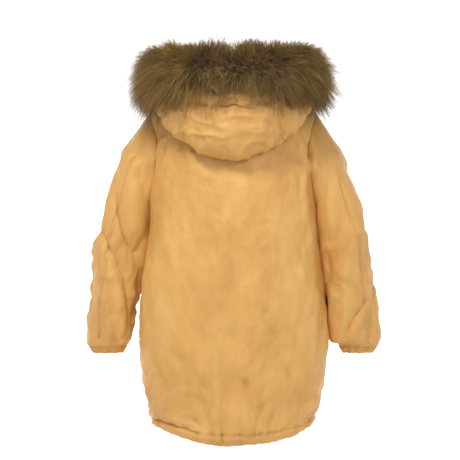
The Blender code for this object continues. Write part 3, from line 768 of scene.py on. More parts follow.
def brass(name, colour, roughness):
    """Metal with fine scratches. Its pieces have no flat coordinates, so it uses their own."""
    look = Look(name, roughness, 1.0)
    own = look.add("ShaderNodeTexCoord").outputs["Object"]
    wear = look.add("ShaderNodeTexNoise", Vector=own, Scale=420.0, Detail=5.0)
    darker = tuple(c * 0.55 for c in colour[:3]) + (1,)
    tint = look.ramp(wear.outputs["Fac"], (0.35, darker), (0.6, colour))
    look.links.new(tint, look.shader.inputs["Base Color"])
    marks = look.add("ShaderNodeMapRange", Value=wear.outputs["Fac"])
    marks.inputs["To Min"].default_value = roughness - 0.08
    marks.inputs["To Max"].default_value = roughness + 0.2
    look.links.new(marks.outputs[0], look.shader.inputs["Roughness"])
    look.bump(wear.outputs["Fac"], 0.00006)
    return look.material


def fur_look(name):
    """Hair that is dark at the root and lighter to the tip, each lock its own shade."""
    look = Look(name, 0.62)
    along = look.add("ShaderNodeAttribute")
    along.attribute_name = "along"
    shade = look.add("ShaderNodeAttribute")
    shade.attribute_name = "shade"
    root = look.ramp(along.outputs["Fac"], (0.0, srgb(50, 33, 11)), (0.35, srgb(114, 86, 34)),
                     (0.75, srgb(166, 134, 72)), (1.0, srgb(112, 90, 52)))
    lock = look.ramp(shade.outputs["Fac"], (0.0, (0.20, 0.20, 0.22, 1)),
                     (0.55, (0.88, 0.86, 0.80, 1)), (1.0, (1.9, 1.75, 1.5, 1)))
    blend = look.nodes.new("ShaderNodeMixRGB")
    blend.blend_type = "MULTIPLY"
    blend.inputs["Fac"].default_value = 1.0
    look.links.new(root, blend.inputs["Color1"])
    look.links.new(lock, blend.inputs["Color2"])
    look.links.new(blend.outputs["Color"], look.shader.inputs["Base Color"])
    look.shader.inputs["Specular IOR Level"].default_value = 0.35
    look.shader.inputs["Sheen Weight"].default_value = 0.15
    return look.material


GOLD = nylon("gold_nylon", srgb(205, 150, 78), srgb(221, 168, 93), srgb(236, 185, 112))
GOLD_BAND = nylon("gold_nylon_band", srgb(195, 140, 70), srgb(213, 158, 84),
                  srgb(229, 176, 104), crease=1.3)
LINING = nylon("gold_lining", srgb(150, 104, 52), srgb(168, 118, 62), srgb(182, 132, 74),
               roughness=0.34, sheen=0.15, crease=0.6)
THREAD = plain_cloth("gold_thread", srgb(188, 128, 58), 0.0006, 0.0002)
TAPE = plain_cloth("zip_tape", srgb(160, 108, 50), 0.0014, 0.0003)
LABEL = plain_cloth("neck_label", srgb(208, 196, 172), 0.0008, 0.0002)
LOOP = plain_cloth("hanger_loop", srgb(178, 124, 62), 0.0012, 0.0004)
BRASS = brass("zip_brass", (0.72, 0.50, 0.20, 1), 0.32)
SNAP = brass("snap_brass", (0.66, 0.47, 0.22, 1), 0.28)
FUR = fur_look("brown_fur")
FUR_SKIN = plain_cloth("fur_skin", srgb(58, 38, 18), 0.003, 0.001, 0.95)

# ---- The coat -------------------------------------------------------------------------------

SHELL = 0.0022
LINING_IN = 0.0105
FINER = 2
rows_fine = np.linspace(0, 8, (len(ROWS) - 1) * FINER + 1)


def trunk_cloth(points):
    """A trunk panel with evenly spaced rows and more columns."""
    slope = np.gradient(points, ROWS, axis=0)
    low = np.clip(np.searchsorted(ROWS, rows_fine, side="right") - 1, 0, len(ROWS) - 2)
    step = (ROWS[low + 1] - ROWS[low])[:, None, None]
    t = ((rows_fine - ROWS[low])[:, None, None] / step)
    rows = ((2 * t**3 - 3 * t**2 + 1) * points[low] + (t**3 - 2 * t**2 + t) * step * slope[low]
            + (3 * t**2 - 2 * t**3) * points[low + 1] + (t**3 - t**2) * step * slope[low + 1])
    columns = np.linspace(0, points.shape[1] - 1, (points.shape[1] - 1) * FINER + 1)
    return Cloth(resample(rows.transpose(1, 0, 2), columns).transpose(1, 0, 2), in_trunk)



def row_at(ring):
    """The fine row of the trunk next to a ring."""
    return int(np.argmin(np.abs(rows_fine - ring)))


stitches = {}


def stitch(body, cloth, rows, columns, pitch=0.0042, thick=0.00055):
    """A row of stitches laid on cloth along fractional rows and columns."""
    points, normals = cloth.at(rows, columns)
    step = np.linalg.norm(np.diff(points, axis=0), axis=1)
    length = np.concatenate(([0], np.cumsum(step)))
    count = int(length[-1] / pitch)
    if count < 2:
        return
    starts = np.arange(count) * pitch
    ends = starts + pitch * 0.68
    made = stitches.setdefault(body, [])
    for low, high in zip(starts, ends):
        a = np.array([np.interp(low, length, points[:, k]) for k in range(3)])
        b = np.array([np.interp(high, length, points[:, k]) for k in range(3)])
        n = np.array([np.interp(low, length, normals[:, k]) for k in range(3)])
        made.append((a, b, n / max(np.linalg.norm(n), 1e-9), thick))


def sewn(made):
    """The points and faces of stitches: a low six-sided bar for each."""
    points, quads = [], []
    for a, b, n, thick in made:
        along = b - a
        side = np.cross(along, n)
        side *= thick / max(np.linalg.norm(side), 1e-12)
        up = n * thick * 0.9
        sunk = n * thick * 0.35
        first = len(points)
        for end, rise in ((a, -0.6), (mix(a, b, 0.5), 0.5), (b, -0.6)):
            for across, high in ((-1, 0.2), (-0.5, 1), (0.5, 1), (1, 0.2)):
                points.append(end + side * across + up * (high + rise) - sunk)
        for k in (0, 4):
            for j in range(3):
                quads.append((first + k + j, first + k + j + 1,
                              first + k + j + 5, first + k + j + 4))
            quads.append((first + k + 3, first + k, first + k + 4, first + k + 7))
    return np.array(points), np.array(quads)


def edge_distance(cloth, edge):
    """Distance of every point from an edge of the cloth, across it."""
    if edge == "start":
        return cloth.across
    if edge == "end":
        return cloth.across[:, -1:] - cloth.across
    if edge == "bottom":
        return cloth.down[-1:] - cloth.down
    return cloth.down


def hem_relief(cloth, rows):
    """Height of the gathered channel at the hem: a stitched groove and gathers round it."""
    at = np.interp(HEM_STITCH, rows, np.arange(len(rows)))
    low = int(at)
    line = mix(cloth.down[low], cloth.down[low + 1], at - low)
    below = cloth.down - line[None, :]
    around = cloth.across[low]
    gathers = line_noise(around, 0.0075, 31) + 0.6 * line_noise(around, 0.016, 32)
    above = np.exp(-(np.minimum(below, 0) / 0.022) ** 2) * (below < 0)
    channel = smooth(0, 0.008, below) * smooth(0.032, 0.020, below)
    return (-0.0042 * np.exp(-(below / 0.0032) ** 2)
            + gathers[None, :] * (0.0030 * above + 0.0016 * (below >= 0))
            + 0.0022 * channel), at


def dress(cloth, name, rows, seed):
    """A trunk panel with its seams sunk and puckered, a gathered hem and stitches along the hem.
    """
    edges = ("start", "end") if name == "back" else ("end",)
    height = seam_relief([edge_distance(cloth, edge) for edge in edges],
                         [cloth.down[:, 0 if edge == "start" else -1] for edge in edges], seed)
    hem, at = hem_relief(cloth, rows)
    raised = cloth.raised(height + hem)
    stitch("trunk" if name == "back" else name, raised, at - 0.55,
           np.linspace(0, raised.points.shape[1] - 1, 140))
    return raised


coat = {"back": trunk_cloth(panels["back"].points)}
coat["back"] = dress(coat["back"], "back", rows_fine, 3)
low_arm, high_arm = row_at(SHOULDER_RING), row_at(ARMPIT_RING)
last_column = coat["back"].points.shape[1] - 1
for edge_column, ahead in ((0, 1), (last_column, -1)):
    rows_line = np.linspace(4 * FINER, low_arm, 60)
    stitch("trunk", coat["back"], rows_line, edge_column + ahead * 1.2)
    rows_line = np.linspace(low_arm, high_arm, 90)
    stitch("trunk", coat["back"], rows_line, edge_column + ahead * 1.2)


def blurred(values, closed, times):
    """Values of a grid, evened out over their neighbours."""
    for _ in range(times):
        for axis in (0, 1):
            width = [(0, 0)] * values.ndim
            width[axis] = (1, 1)
            if closed and axis == 1:
                wide = np.pad(values[:, :-1], width, mode="wrap")
                wide = np.concatenate((wide, wide[:, 2:3]), 1)
            else:
                wide = np.pad(values, width, mode="edge")
            count = values.shape[axis]
            values = (np.take(wide, range(count), axis) + 2 * values
                      + np.take(wide, range(2, count + 2), axis)) / 4
    return values


def lining_of(cloth, rows, depth):
    """A smoother cloth inside another one that stays behind the deepest of its folds."""
    part = cloth.cut(rows, slice(None, None, 2))
    part.closed = cloth.closed
    smoother = Cloth(blurred(part.points, part.closed, 14), part.inside, part.closed)
    low = ((part.points - smoother.points) * smoother.normal).sum(-1)
    for _ in range(3):
        wide = np.pad(low, 1, mode="edge")
        low = np.min([wide[i:i + low.shape[0], j:j + low.shape[1]]
                      for i in (0, 1, 2) for j in (0, 1, 2)], axis=0)
    if part.closed:
        low[:, 0] = low[:, -1] = np.minimum(low[:, 0], low[:, -1])
    low = blurred(np.minimum(low, 0), part.closed, 3)
    return smoother.raised(low - depth)


def show(name, cloth, body, other=None, replaced=(), thick=SHELL,
         material=GOLD, edges="tbse"):
    """Build a piece and hang it on its body; a piece between two bodies is left in place, on
    neither.
    """
    piece = solid(name, cloth, thick, material, edges)
    if other is None:
        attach(piece, body)
    else:
        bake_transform(piece)
    if replaced:
        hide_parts(*replaced)
    return piece


show("coat_back", turned_in(coat["back"], "bottom"), "trunk",
     replaced=("back_panel", "hem_band_back", "hem_elastic"))
lined = lining_of(coat["back"], slice(0, row_at(7.75), 2), LINING_IN)
show("coat_lining_back", lined, "trunk", replaced=("lining_back",), thick=0.0008,
     material=LINING)

for side, hand in ((1, "left"), (-1, "right")):
    front = trunk_cloth(panels[f"front_{hand}"].points)
    front = dress(front, f"front_{hand}", rows_fine, 11 + side)
    coat[f"front_{hand}"] = front
    split = int(np.argmin(np.abs(front.points[:, 3, 2] + 0.351)))
    turned = turned_in(front, "start", 0.0078, 0.020)
    show(f"coat_front_upper_{hand}", turned.cut(slice(0, split + 1)), "trunk",
         f"lapel_{hand}", (f"lapel_{hand}", f"lapel_facing_{hand}"), edges="tse")
    hemmed = turned_in(turned.cut(slice(split, None)), "bottom")
    show(f"coat_front_lower_{hand}", hemmed, "trunk", f"skirt_{hand}",
         (f"front_panel_{hand}", f"skirt_{hand}", f"skirt_facing_{hand}",
          f"hem_band_{hand}"), edges="bse")
    lined = lining_of(front, slice(0, row_at(7.75), 2), LINING_IN).cut(columns=slice(2, None))
    half = (split + 1) // 2
    show(f"coat_lining_upper_{hand}", lined.cut(slice(0, half + 1)), "trunk",
         f"lapel_{hand}", thick=0.0008, material=LINING)
    show(f"coat_lining_lower_{hand}", lined.cut(slice(half, None)), "trunk",
         f"skirt_{hand}", (f"lining_front_{hand}",), thick=0.0008,
         material=LINING)

# ---- Sleeves --------------------------------------------------------------------------------

CUFF_RING = 7.35
for side, hand in ((1, "left"), (-1, "right")):
    arm = Cloth(finer(panels[f"sleeve_{hand}"].points, FINER), in_sleeve(side), closed=True)
    rows = np.linspace(0, 8, arm.points.shape[0])
    columns = arm.points.shape[1]
    wrist = finer(panels[f"sleeve_{hand}"].rest, FINER)
    held = mix(blurred(arm.points, True, 8), wrist, smooth(6.3, 7.1, rows)[:, None, None])
    held = mix(arm.points, held, smooth(5.6, 6.4, rows)[:, None, None])
    arm = Cloth(held, in_sleeve(side), closed=True)
    turn = np.interp(np.linspace(0, len(AROUND) - 1, columns), np.arange(len(AROUND)), AROUND)
    seam = int(np.argmin(np.abs(turn - math.radians(66))))
    under = int(np.argmin(np.abs(turn - math.radians(176))))
    height = seam_relief(
        [arm.down] + [np.abs(arm.across - arm.across[:, c:c + 1]) for c in (seam, under)],
        [arm.across[0], arm.down[:, seam], arm.down[:, under]],
        51 + 10 * side, 0.0040, 0.0016)
    gather = line_noise(arm.across[-1], 0.0050, 81) + 0.5 * line_noise(arm.across[-1], 0.011, 82)
    pleat = smooth(6.4, 7.3, rows)[:, None] * gather[None, :] * 0.0019
    neck = -0.0022 * np.exp(-((rows - CUFF_RING) / 0.07) ** 2)[:, None]
    arm = arm.raised(height + pleat + neck)
    coat[f"sleeve_{hand}"] = arm
    head = int(np.argmin(np.abs(rows - 1.6)))
    cuff = int(np.argmin(np.abs(rows - CUFF_RING)))
    show(f"sleeve_head_{hand}", arm.cut(slice(0, head + 1)), "trunk", f"sleeve_{hand}",
         (f"sleeve_upper_{hand}",), edges="t")
    show(f"sleeve_tube_{hand}", arm.cut(slice(head, cuff + 1)), f"sleeve_{hand}",
         f"forearm_{hand}", (f"sleeve_lower_{hand}",), edges="")
    show(f"sleeve_cuff_{hand}", turned_in(arm.cut(slice(cuff, None)), "bottom", 0.007, 0.022),
         f"forearm_{hand}", replaced=(f"cuff_{hand}", f"cuff_elastic_{hand}"),
         material=GOLD_BAND, edges="b")
    lined = lining_of(arm, slice(0, cuff, 2), 0.0085)
    half = (head + 1) // 2
    show(f"sleeve_lining_head_{hand}", lined.cut(slice(0, half + 1)), "trunk",
         f"sleeve_{hand}", (f"sleeve_upper_lining_{hand}",), thick=0.0008,
         material=LINING, edges="t")
    show(f"sleeve_lining_tube_{hand}", lined.cut(slice(half, None)), f"sleeve_{hand}",
         f"forearm_{hand}", (f"sleeve_lower_lining_{hand}",), thick=0.0008,
         material=LINING, edges="b")
    for column in (seam - 1.3, seam + 1.3):
        for rider, low, high in ((f"sleeve_{hand}", 1.7, 3.9), (f"forearm_{hand}", 4.7, 7.2)):
            stitch(rider, arm, np.linspace(low, high, 200) / 8 * (len(rows) - 1), column)

# ---- Hood, lying open on the back -----------------------------------------------------------

HOOD_FRONT = math.radians(-50)
CROWN = math.radians(62)


def around_neck(count, inset=0.0):
    return np.linspace(HOOD_FRONT + inset, math.pi - HOOD_FRONT - inset, count)


def body_out(angle, ring, distance):
    """A point off the body, along its normal."""
    angle, ring = np.broadcast_arrays(np.asarray(angle, float), np.asarray(ring, float))
    point = body(angle, ring)
    normal = np.cross(body(angle + 0.01, ring) - body(angle - 0.01, ring),
                      body(angle, ring + 0.02) - body(angle, np.maximum(ring - 0.02, 0)))
    normal /= np.maximum(np.linalg.norm(normal, axis=-1, keepdims=True), 1e-12)
    inside = np.zeros_like(point)
    inside[..., 1] = -0.067
    inside[..., 2] = np.where(ring < 2.5, point[..., 2] - 0.10, point[..., 2])
    facing = np.sign((normal * (point - inside)).sum(-1, keepdims=True))
    return point + normal * facing * distance


def bag_depth_ring(angle):
    return mix(0.62, 2.95, np.maximum(np.sin(angle), 0) ** 1.2)


def brim(angle):
    """The open edge of the hood as it lies on the shoulders."""
    c = signed_power(np.cos(angle), 0.72)
    d = signed_power(np.sin(angle), 0.72)
    share = np.clip(np.sin(angle) / math.sin(HOOD_FRONT), 0, 1)
    behind = d >= 0
    x = np.where(behind, 0.160 * c, mix(0.160, 0.086, share**2) * np.sign(np.cos(angle)))
    y = np.where(behind, mix(-0.062, 0.112, d), mix(-0.062, -0.150, share)) + SHIFT_Y
    z = np.where(behind, mix(0.020, 0.006, d * d), mix(0.020, -0.018, share**2))
    return np.stack((x, y, z), -1)


def outwards(angle):
    return np.stack((np.cos(angle), np.sin(angle), np.zeros_like(angle)), -1)


def hood_wall(angle, height):
    angle, height = np.broadcast_arrays(np.asarray(angle, float), np.asarray(height, float))
    low = body_out(angle, bag_depth_ring(angle) + 0.17, 0.0150)
    lift = np.maximum(np.sin(angle), 0)
    bulge = 0.030 * (0.25 + 0.75 * lift) * np.sin(math.pi * np.maximum(height, 0) ** 0.6)
    return mix(low, brim(angle), height[..., None]) + outwards(angle) * bulge[..., None]


def in_neck(points):
    middle = np.zeros_like(points)
    middle[..., 1] = -0.042
    middle[..., 2] = points[..., 2] - 0.06
    return middle


angles = around_neck(281)
heights = np.linspace(0.002, 1, 61)
hood = Cloth(hood_wall(angles[None, :], 1 - heights[:, None]), in_neck)
flat_points = hood.points.reshape(-1, 3)
seam_columns = [int(np.argmin(np.abs(angles - a))) for a in (CROWN, math.pi - CROWN)]
bend = np.stack([soft_noise(flat_points, (7, 7, 7), 140 + k) for k in range(3)], -1)
warped = flat_points + bend * 0.02
height = 0.0030 * soft_noise(warped, (16, 16, 10), 101)
height += 0.0070 * ridges(warped, (20, 20, 9), 102, 2.0)
height += 0.0055 * ridges(warped, (14, 14, 34), 103, 2.0)
height += 0.0018 * ridges(warped, (52, 52, 26), 104)
height = height.reshape(hood.points.shape[:2]) * smooth(1.0, 0.93, 1 - heights)[:, None]
height += seam_relief([np.abs(hood.across - hood.across[:, c:c + 1]) for c in seam_columns],
                      [hood.down[:, c] for c in seam_columns], 111, 0.0042, 0.0032)
hood = hood.raised(height)
bottom = smooth(0.93, 1.0, heights)[:, None]
hood = hood.raised(-0.004 * bottom)
cuts = [0, *seam_columns, len(angles) - 1]
for number, name in enumerate(("hood_side_left", "hood_centre_panel", "hood_side_right")):
    part = turned_in(hood.cut(slice(None), slice(cuts[number], cuts[number + 1] + 1)),
                     "bottom", 0.005, 0.006)
    show(name.replace("hood_", "hood_shell_"), part, "hood", replaced=(name,), thick=0.0018)
for column in seam_columns:
    for shift in (-2.6, -1.2, 1.2, 2.6):
        stitch("hood", hood, np.linspace(3, len(heights) - 5, 120), column + shift)

band_rows = slice(int(len(heights) * 0.05), int(len(heights) * 0.27) + 1)
inset = int(len(angles) * 0.155)
band = hood.cut(band_rows, slice(inset, len(angles) - inset)).raised(0.0060)
gather = line_noise(band.across[0], 0.010, 121) * 0.0009
band = band.raised(gather[None, :] + 0.0015 * np.sin(np.linspace(0, math.pi,
                                                                 band.points.shape[0]))[:, None])
show("hood_band", band, "hood", replaced=("hood_brim_band",), thick=0.0030,
     material=GOLD_BAND)
count = band.points.shape[1] - 1
for row in (1.0, 2.6, band.points.shape[0] - 3.6, band.points.shape[0] - 2.0):
    stitch("hood", band, row, np.linspace(0, count, 300))

lined = Cloth(hood_wall(angles[None, ::2], 1 - np.linspace(0.01, 0.93, 24)[:, None]), in_neck)
lined = lined.raised(-0.0085)
show("hood_inner", lined, "hood", replaced=("hood_lining",), thick=0.0008,
     material=LINING)
leg_angles = around_neck(120, 0.06)
leg = body_out(leg_angles[None, :],
               mix(0.03, bag_depth_ring(leg_angles)[None, :], np.linspace(0, 1, 16)[:, None]),
               0.0095)
show("hood_leg", Cloth(leg, in_neck), "trunk", replaced=("hood_back_leg",), thick=0.0018)
tape_angles = around_neck(160, 0.2)
tape = (brim(tape_angles)[None] + np.array([0, 0, 0.0085])
        + np.linspace(0.0030, 0, 4)[:, None, None] * np.array([0, 0, 1.0])
        - outwards(tape_angles)[None] * 0.006)
show("fur_strip", Cloth(tape, in_neck), "hood", replaced=("fur_tape",), thick=0.002,
     material=TAPE)

# ---- Fur ------------------------------------------------------------------------------------

CORE_HALF_THICK, CORE_HALF_HEIGHT, CORE_RISE = 0.013, 0.034, 0.036


def core_at(angle):
    """Middle of the fur strip and how full it is, at an angle."""
    share = (angle - HOOD_FRONT - 0.12) / (math.pi - 2 * HOOD_FRONT - 0.24)
    end = np.minimum(1, 0.35 + 3.2 * np.minimum(share, 1 - share))
    lean = 1 - np.abs(np.sin(angle)) ** 1.5
    spine = brim(angle) + outwards(angle) * (0.006 + 0.018 * lean * (np.cos(angle) ** 2))[:, None]
    spine[:, 2] += CORE_RISE * end + 0.006
    return spine, end


core_angles = around_neck(90, 0.12)
spine, end = core_at(core_angles)
turns = np.linspace(0, 2 * math.pi, 17)
skin = (spine[None] + outwards(core_angles)[None]
        * (CORE_HALF_THICK * end[None, :] * np.cos(turns)[:, None])[..., None]
        + np.array([0, 0, 1.0]) * (CORE_HALF_HEIGHT * end[None, :]
                                   * np.sin(turns)[:, None])[..., None])
skin = Cloth(skin.transpose(1, 0, 2), lambda p: p.mean(axis=1, keepdims=True), closed=True)
show("fur_strip_skin", skin, "hood", thick=0.002, material=FUR_SKIN)

SEGMENTS = 4
FUR_BACK = 0.146  # behind this depth the hair lies flatter


def hairs(name, count, length, width, spread, seed):
    """Tapered hairs that leave the strip, gather in locks and droop."""
    draw = np.random.default_rng(seed)
    angle = draw.uniform(HOOD_FRONT + 0.12, math.pi - HOOD_FRONT - 0.12, count)
    turn = draw.uniform(0, 2 * math.pi, count)
    spine, end = core_at(angle)
    away = outwards(angle)
    up = np.array([0, 0, 1.0])
    lie = np.stack((-np.sin(angle), np.cos(angle), np.zeros(count)), -1)
    root = (spine + away * (CORE_HALF_THICK * 0.9 * end * np.cos(turn))[:, None]
            + up * (CORE_HALF_HEIGHT * 0.9 * end * np.sin(turn))[:, None])
    lock = np.stack([soft_noise(root, (34, 34, 34), seed + k) for k in range(4)], -1)
    tuft = np.stack([soft_noise(root, (13, 13, 13), seed + 9 + k) for k in range(3)], -1)
    side = np.abs(np.cos(angle)) ** 2
    small = np.stack([soft_noise(root, (90, 90, 90), seed + 15 + k) for k in range(4)], -1)
    aim = (away * (0.75 * np.cos(turn) + 0.25 + 0.75 * side)[:, None]
           + up * (1.0 * np.sin(turn) + 0.25 - 0.35 * side)[:, None]
           + lie * (0.55 * lock[:, 0] + 0.35 * tuft[:, 0] + 0.35 * small[:, 0])[:, None]
           + away * (0.35 * lock[:, 1] + 0.20 * tuft[:, 1] + 0.30 * small[:, 1])[:, None]
           + up * (0.40 * lock[:, 2] + 0.20 * tuft[:, 2] + 0.35 * small[:, 2])[:, None]
           + draw.normal(0, spread, (count, 3)))
    aim /= np.linalg.norm(aim, axis=1, keepdims=True)
    reach = length * (0.72 + 0.28 * draw.random(count)) * (0.65 + 0.35 * end)
    reach = reach * (1 + 0.36 * tuft[:, 2] + 0.24 * lock[:, 3]) * (1 + 0.42 * side)
    share = np.linspace(0, 1, SEGMENTS + 1)
    droop = (0.26 + 0.44 * side) * reach * (1 - 0.5 * np.abs(aim[:, 2]))
    curl = np.cross(aim, draw.normal(0, 1, (count, 3)) + lock[:, :3] * 2)
    curl /= np.maximum(np.linalg.norm(curl, axis=1, keepdims=True), 1e-9)
    line = (root[:, None] + aim[:, None] * (reach[:, None] * share)[..., None]
            + curl[:, None] * (0.16 * reach[:, None] * share**2)[..., None]
            - up * (droop[:, None] * share**2)[..., None])
    far = line[..., 1] - FUR_BACK
    line[..., 1] = np.where(far > 0, FUR_BACK + 0.034 * np.tanh(far / 0.034 * 0.8),
                            line[..., 1])
    across = np.cross(aim, draw.normal(0, 1, (count, 3)))
    across /= np.maximum(np.linalg.norm(across, axis=1, keepdims=True), 1e-9)
    taper = width * (1 - 0.82 * share**1.5) / 2
    pair = across[:, None] * taper[None, :, None]
    points = np.stack((line - pair, line + pair), 2).reshape(-1, 3)
    first = np.arange(count)[:, None] * (SEGMENTS + 1) * 2 + np.arange(SEGMENTS) * 2
    quads = np.stack((first, first + 1, first + 3, first + 2), -1).reshape(-1, 4)
    mesh = bpy.data.meshes.new(name)
    mesh.from_pydata(points.tolist(), [], quads.tolist())
    along = np.repeat(np.tile(share, count), 2).astype(np.float32)
    mesh.attributes.new("along", "FLOAT", "POINT").data.foreach_set("value", along)
    shade = np.clip(0.5 + 0.18 * tuft[:, 1] + 0.20 * lock[:, 2] + 0.34 * small[:, 3]
                    + draw.normal(0, 0.15, count), 0, 1)
    shade = np.repeat(shade, (SEGMENTS + 1) * 2).astype(np.float32)
    mesh.attributes.new("shade", "FLOAT", "POINT").data.foreach_set("value", shade)
    mesh.materials.append(FUR)
    mesh.shade_smooth()
    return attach(link(name, mesh), "hood")


FEWER = 1
undercoat = hairs("fur_undercoat", 36000 // FEWER, 0.038, 0.0011, 0.22, 201)
hairs("fur_guard_one", 22000 // FEWER, 0.056, 0.0010, 0.18, 231)
hairs("fur_guard_two", 12000 // FEWER, 0.076, 0.0008, 0.34, 261)
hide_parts("fur_trim")


# ---- Zip ------------------------------------------------------------------------------------


def zip_point(top, low, z, x, out):
    """Points on a zip line, x to the side and out of the coat."""
    z = np.asarray(z, float)
    share = (z - low[1]) / (top[1] - low[1])
    along = np.array([0, top[0] - low[0], top[1] - low[1]])
    along /= np.linalg.norm(along)
    away = np.cross(along, [1.0, 0, 0])
    away *= -np.sign(away[1])
    y = mix(low[0], top[0], share) + SHIFT_Y
    points = np.stack(np.broadcast_arrays(np.asarray(x, float), y, z), -1)
    return points + away * np.asarray(out)[..., None], along, away


def tooth(side, at, along, away):
    """One brass tooth: a block that clasps the tape, with a narrower head."""
    x = np.array([0.0036, 0.0036, 0.0012, 0.0012, -0.0007, -0.0007]) * side
    half = np.array([0.00062, 0.00062, 0.00052, 0.00052, 0.00034, 0.00034])
    deep = np.array([0.0013, -0.0013, 0.0012, -0.0012, 0.0009, -0.0009])
    points = []
    for sign in (-1, 1):
        points.append(at + np.outer(x, [1, 0, 0]) + np.outer(half * sign, along)
                      + np.outer(deep, away))
    faces = []
    for k in (0, 6):
        faces += [(k, k + 1, k + 3, k + 2), (k + 2, k + 3, k + 5, k + 4)]
    rim = (0, 1, 3, 5, 4, 2)
    for a, b in zip(rim, rim[1:] + rim[:1]):
        faces.append((a, b, b + 6, a + 6))
    return np.concatenate(points), faces


def plain_piece(name, points, faces, material, bevel=0.0):
    mesh = bpy.data.meshes.new(name)
    mesh.from_pydata([tuple(point) for point in points], [], faces)
    shape = bmesh.new()
    shape.from_mesh(mesh)
    bmesh.ops.recalc_face_normals(shape, faces=shape.faces)
    if bevel:
        bmesh.ops.bevel(shape, geom=list(shape.edges), offset=bevel, segments=1,
                        affect="EDGES")
    shape.to_mesh(mesh)
    shape.free()
    mesh.materials.append(material)
    mesh.shade_smooth()
    mesh.set_sharp_from_angle(angle=math.radians(40))
    return link(name, mesh)


def in_front(points):
    middle = points.copy()
    middle[..., 1] = 0
    return middle


PITCH = 0.0028
for label, top, low, high_z, low_z, rider in (
    ("upper", ZIP_TOP, ZIP_BUST, -0.088, -0.339, "lapel"),
    ("middle", ZIP_BUST, ZIP_BOTTOM, -0.346, -0.365, "trunk"),
    ("lower", ZIP_BUST, ZIP_BOTTOM, -0.366, -0.826, "skirt"),
):
    for side, hand in ((1, "left"), (-1, "right")):
        on = rider if rider == "trunk" else f"{rider}_{hand}"
        count = int((high_z - low_z) / PITCH)
        points, quads = [], []
        for number in range(count):
            z = high_z - (number + (0.25 if side > 0 else 0.75)) * PITCH
            at, along, away = zip_point(top, low, z, 0.0, 0.0)
            made, made_faces = tooth(side, at, along, away)
            quads += [tuple(i + len(points) for i in face) for face in made_faces]
            points += list(made)
        chain = plain_piece(f"zip_teeth_{label}_{hand}", points, quads, BRASS, 0.00012)
        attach(chain, on)
        z = np.linspace(high_z + 0.002, low_z - 0.001, max(4, int((high_z - low_z) / 0.006)))
        x = np.array([0.0026, 0.0034, 0.006, 0.009, 0.012, 0.015]) * side
        rise = np.array([0.0, 0.0, -0.0003, -0.0008, -0.0022, -0.0038])
        strip, _, _ = zip_point(top, low, z[:, None], x[None, :], rise[None, :] + 0 * z[:, None])
        show(f"zip_tape_{label}_{hand}", Cloth(strip, in_front), on,
             replaced=(f"zip_{label}_{hand}",), thick=0.0008, material=TAPE)

for name in ("zip_slider_upper", "zip_slider_lower", "zip_pull_upper", "zip_pull_lower",
             "snap_cap_left", "snap_cap_right", "snap_stud_left", "snap_stud_right"):
    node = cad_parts[name]
    finish = SNAP if name.startswith("snap") else BRASS
    if not node.material_slots:
        node.data.materials.append(finish)
    for material_slot in node.material_slots:
        material_slot.material = finish

# ---- Pockets --------------------------------------------------------------------------------

POCKET_X = (0.086, 0.200)
POCKET_Z = (-0.548, -0.408)
FLAP_Z = (-0.452, -0.398)
POCKET_DEPTH = 0.014


def front_at(x, z, distance):
    """A point on the front of the coat at a width and height, off its outer face."""
    x, z = np.broadcast_arrays(np.asarray(x, float), np.asarray(z, float))
    ring = np.full(x.shape, 5.0)
    for _ in range(16):
        here = body(front_angle(x, ring), ring)[..., 2]
        ring = np.clip(ring + (here - z) * 5.0, 0.1, 7.9)
    angle = front_angle(x, ring)
    return body_out(angle, ring, np.asarray(distance)[..., None])


def mirrored(points, side):
    out = points.copy()
    out[..., 0] *= side
    return out


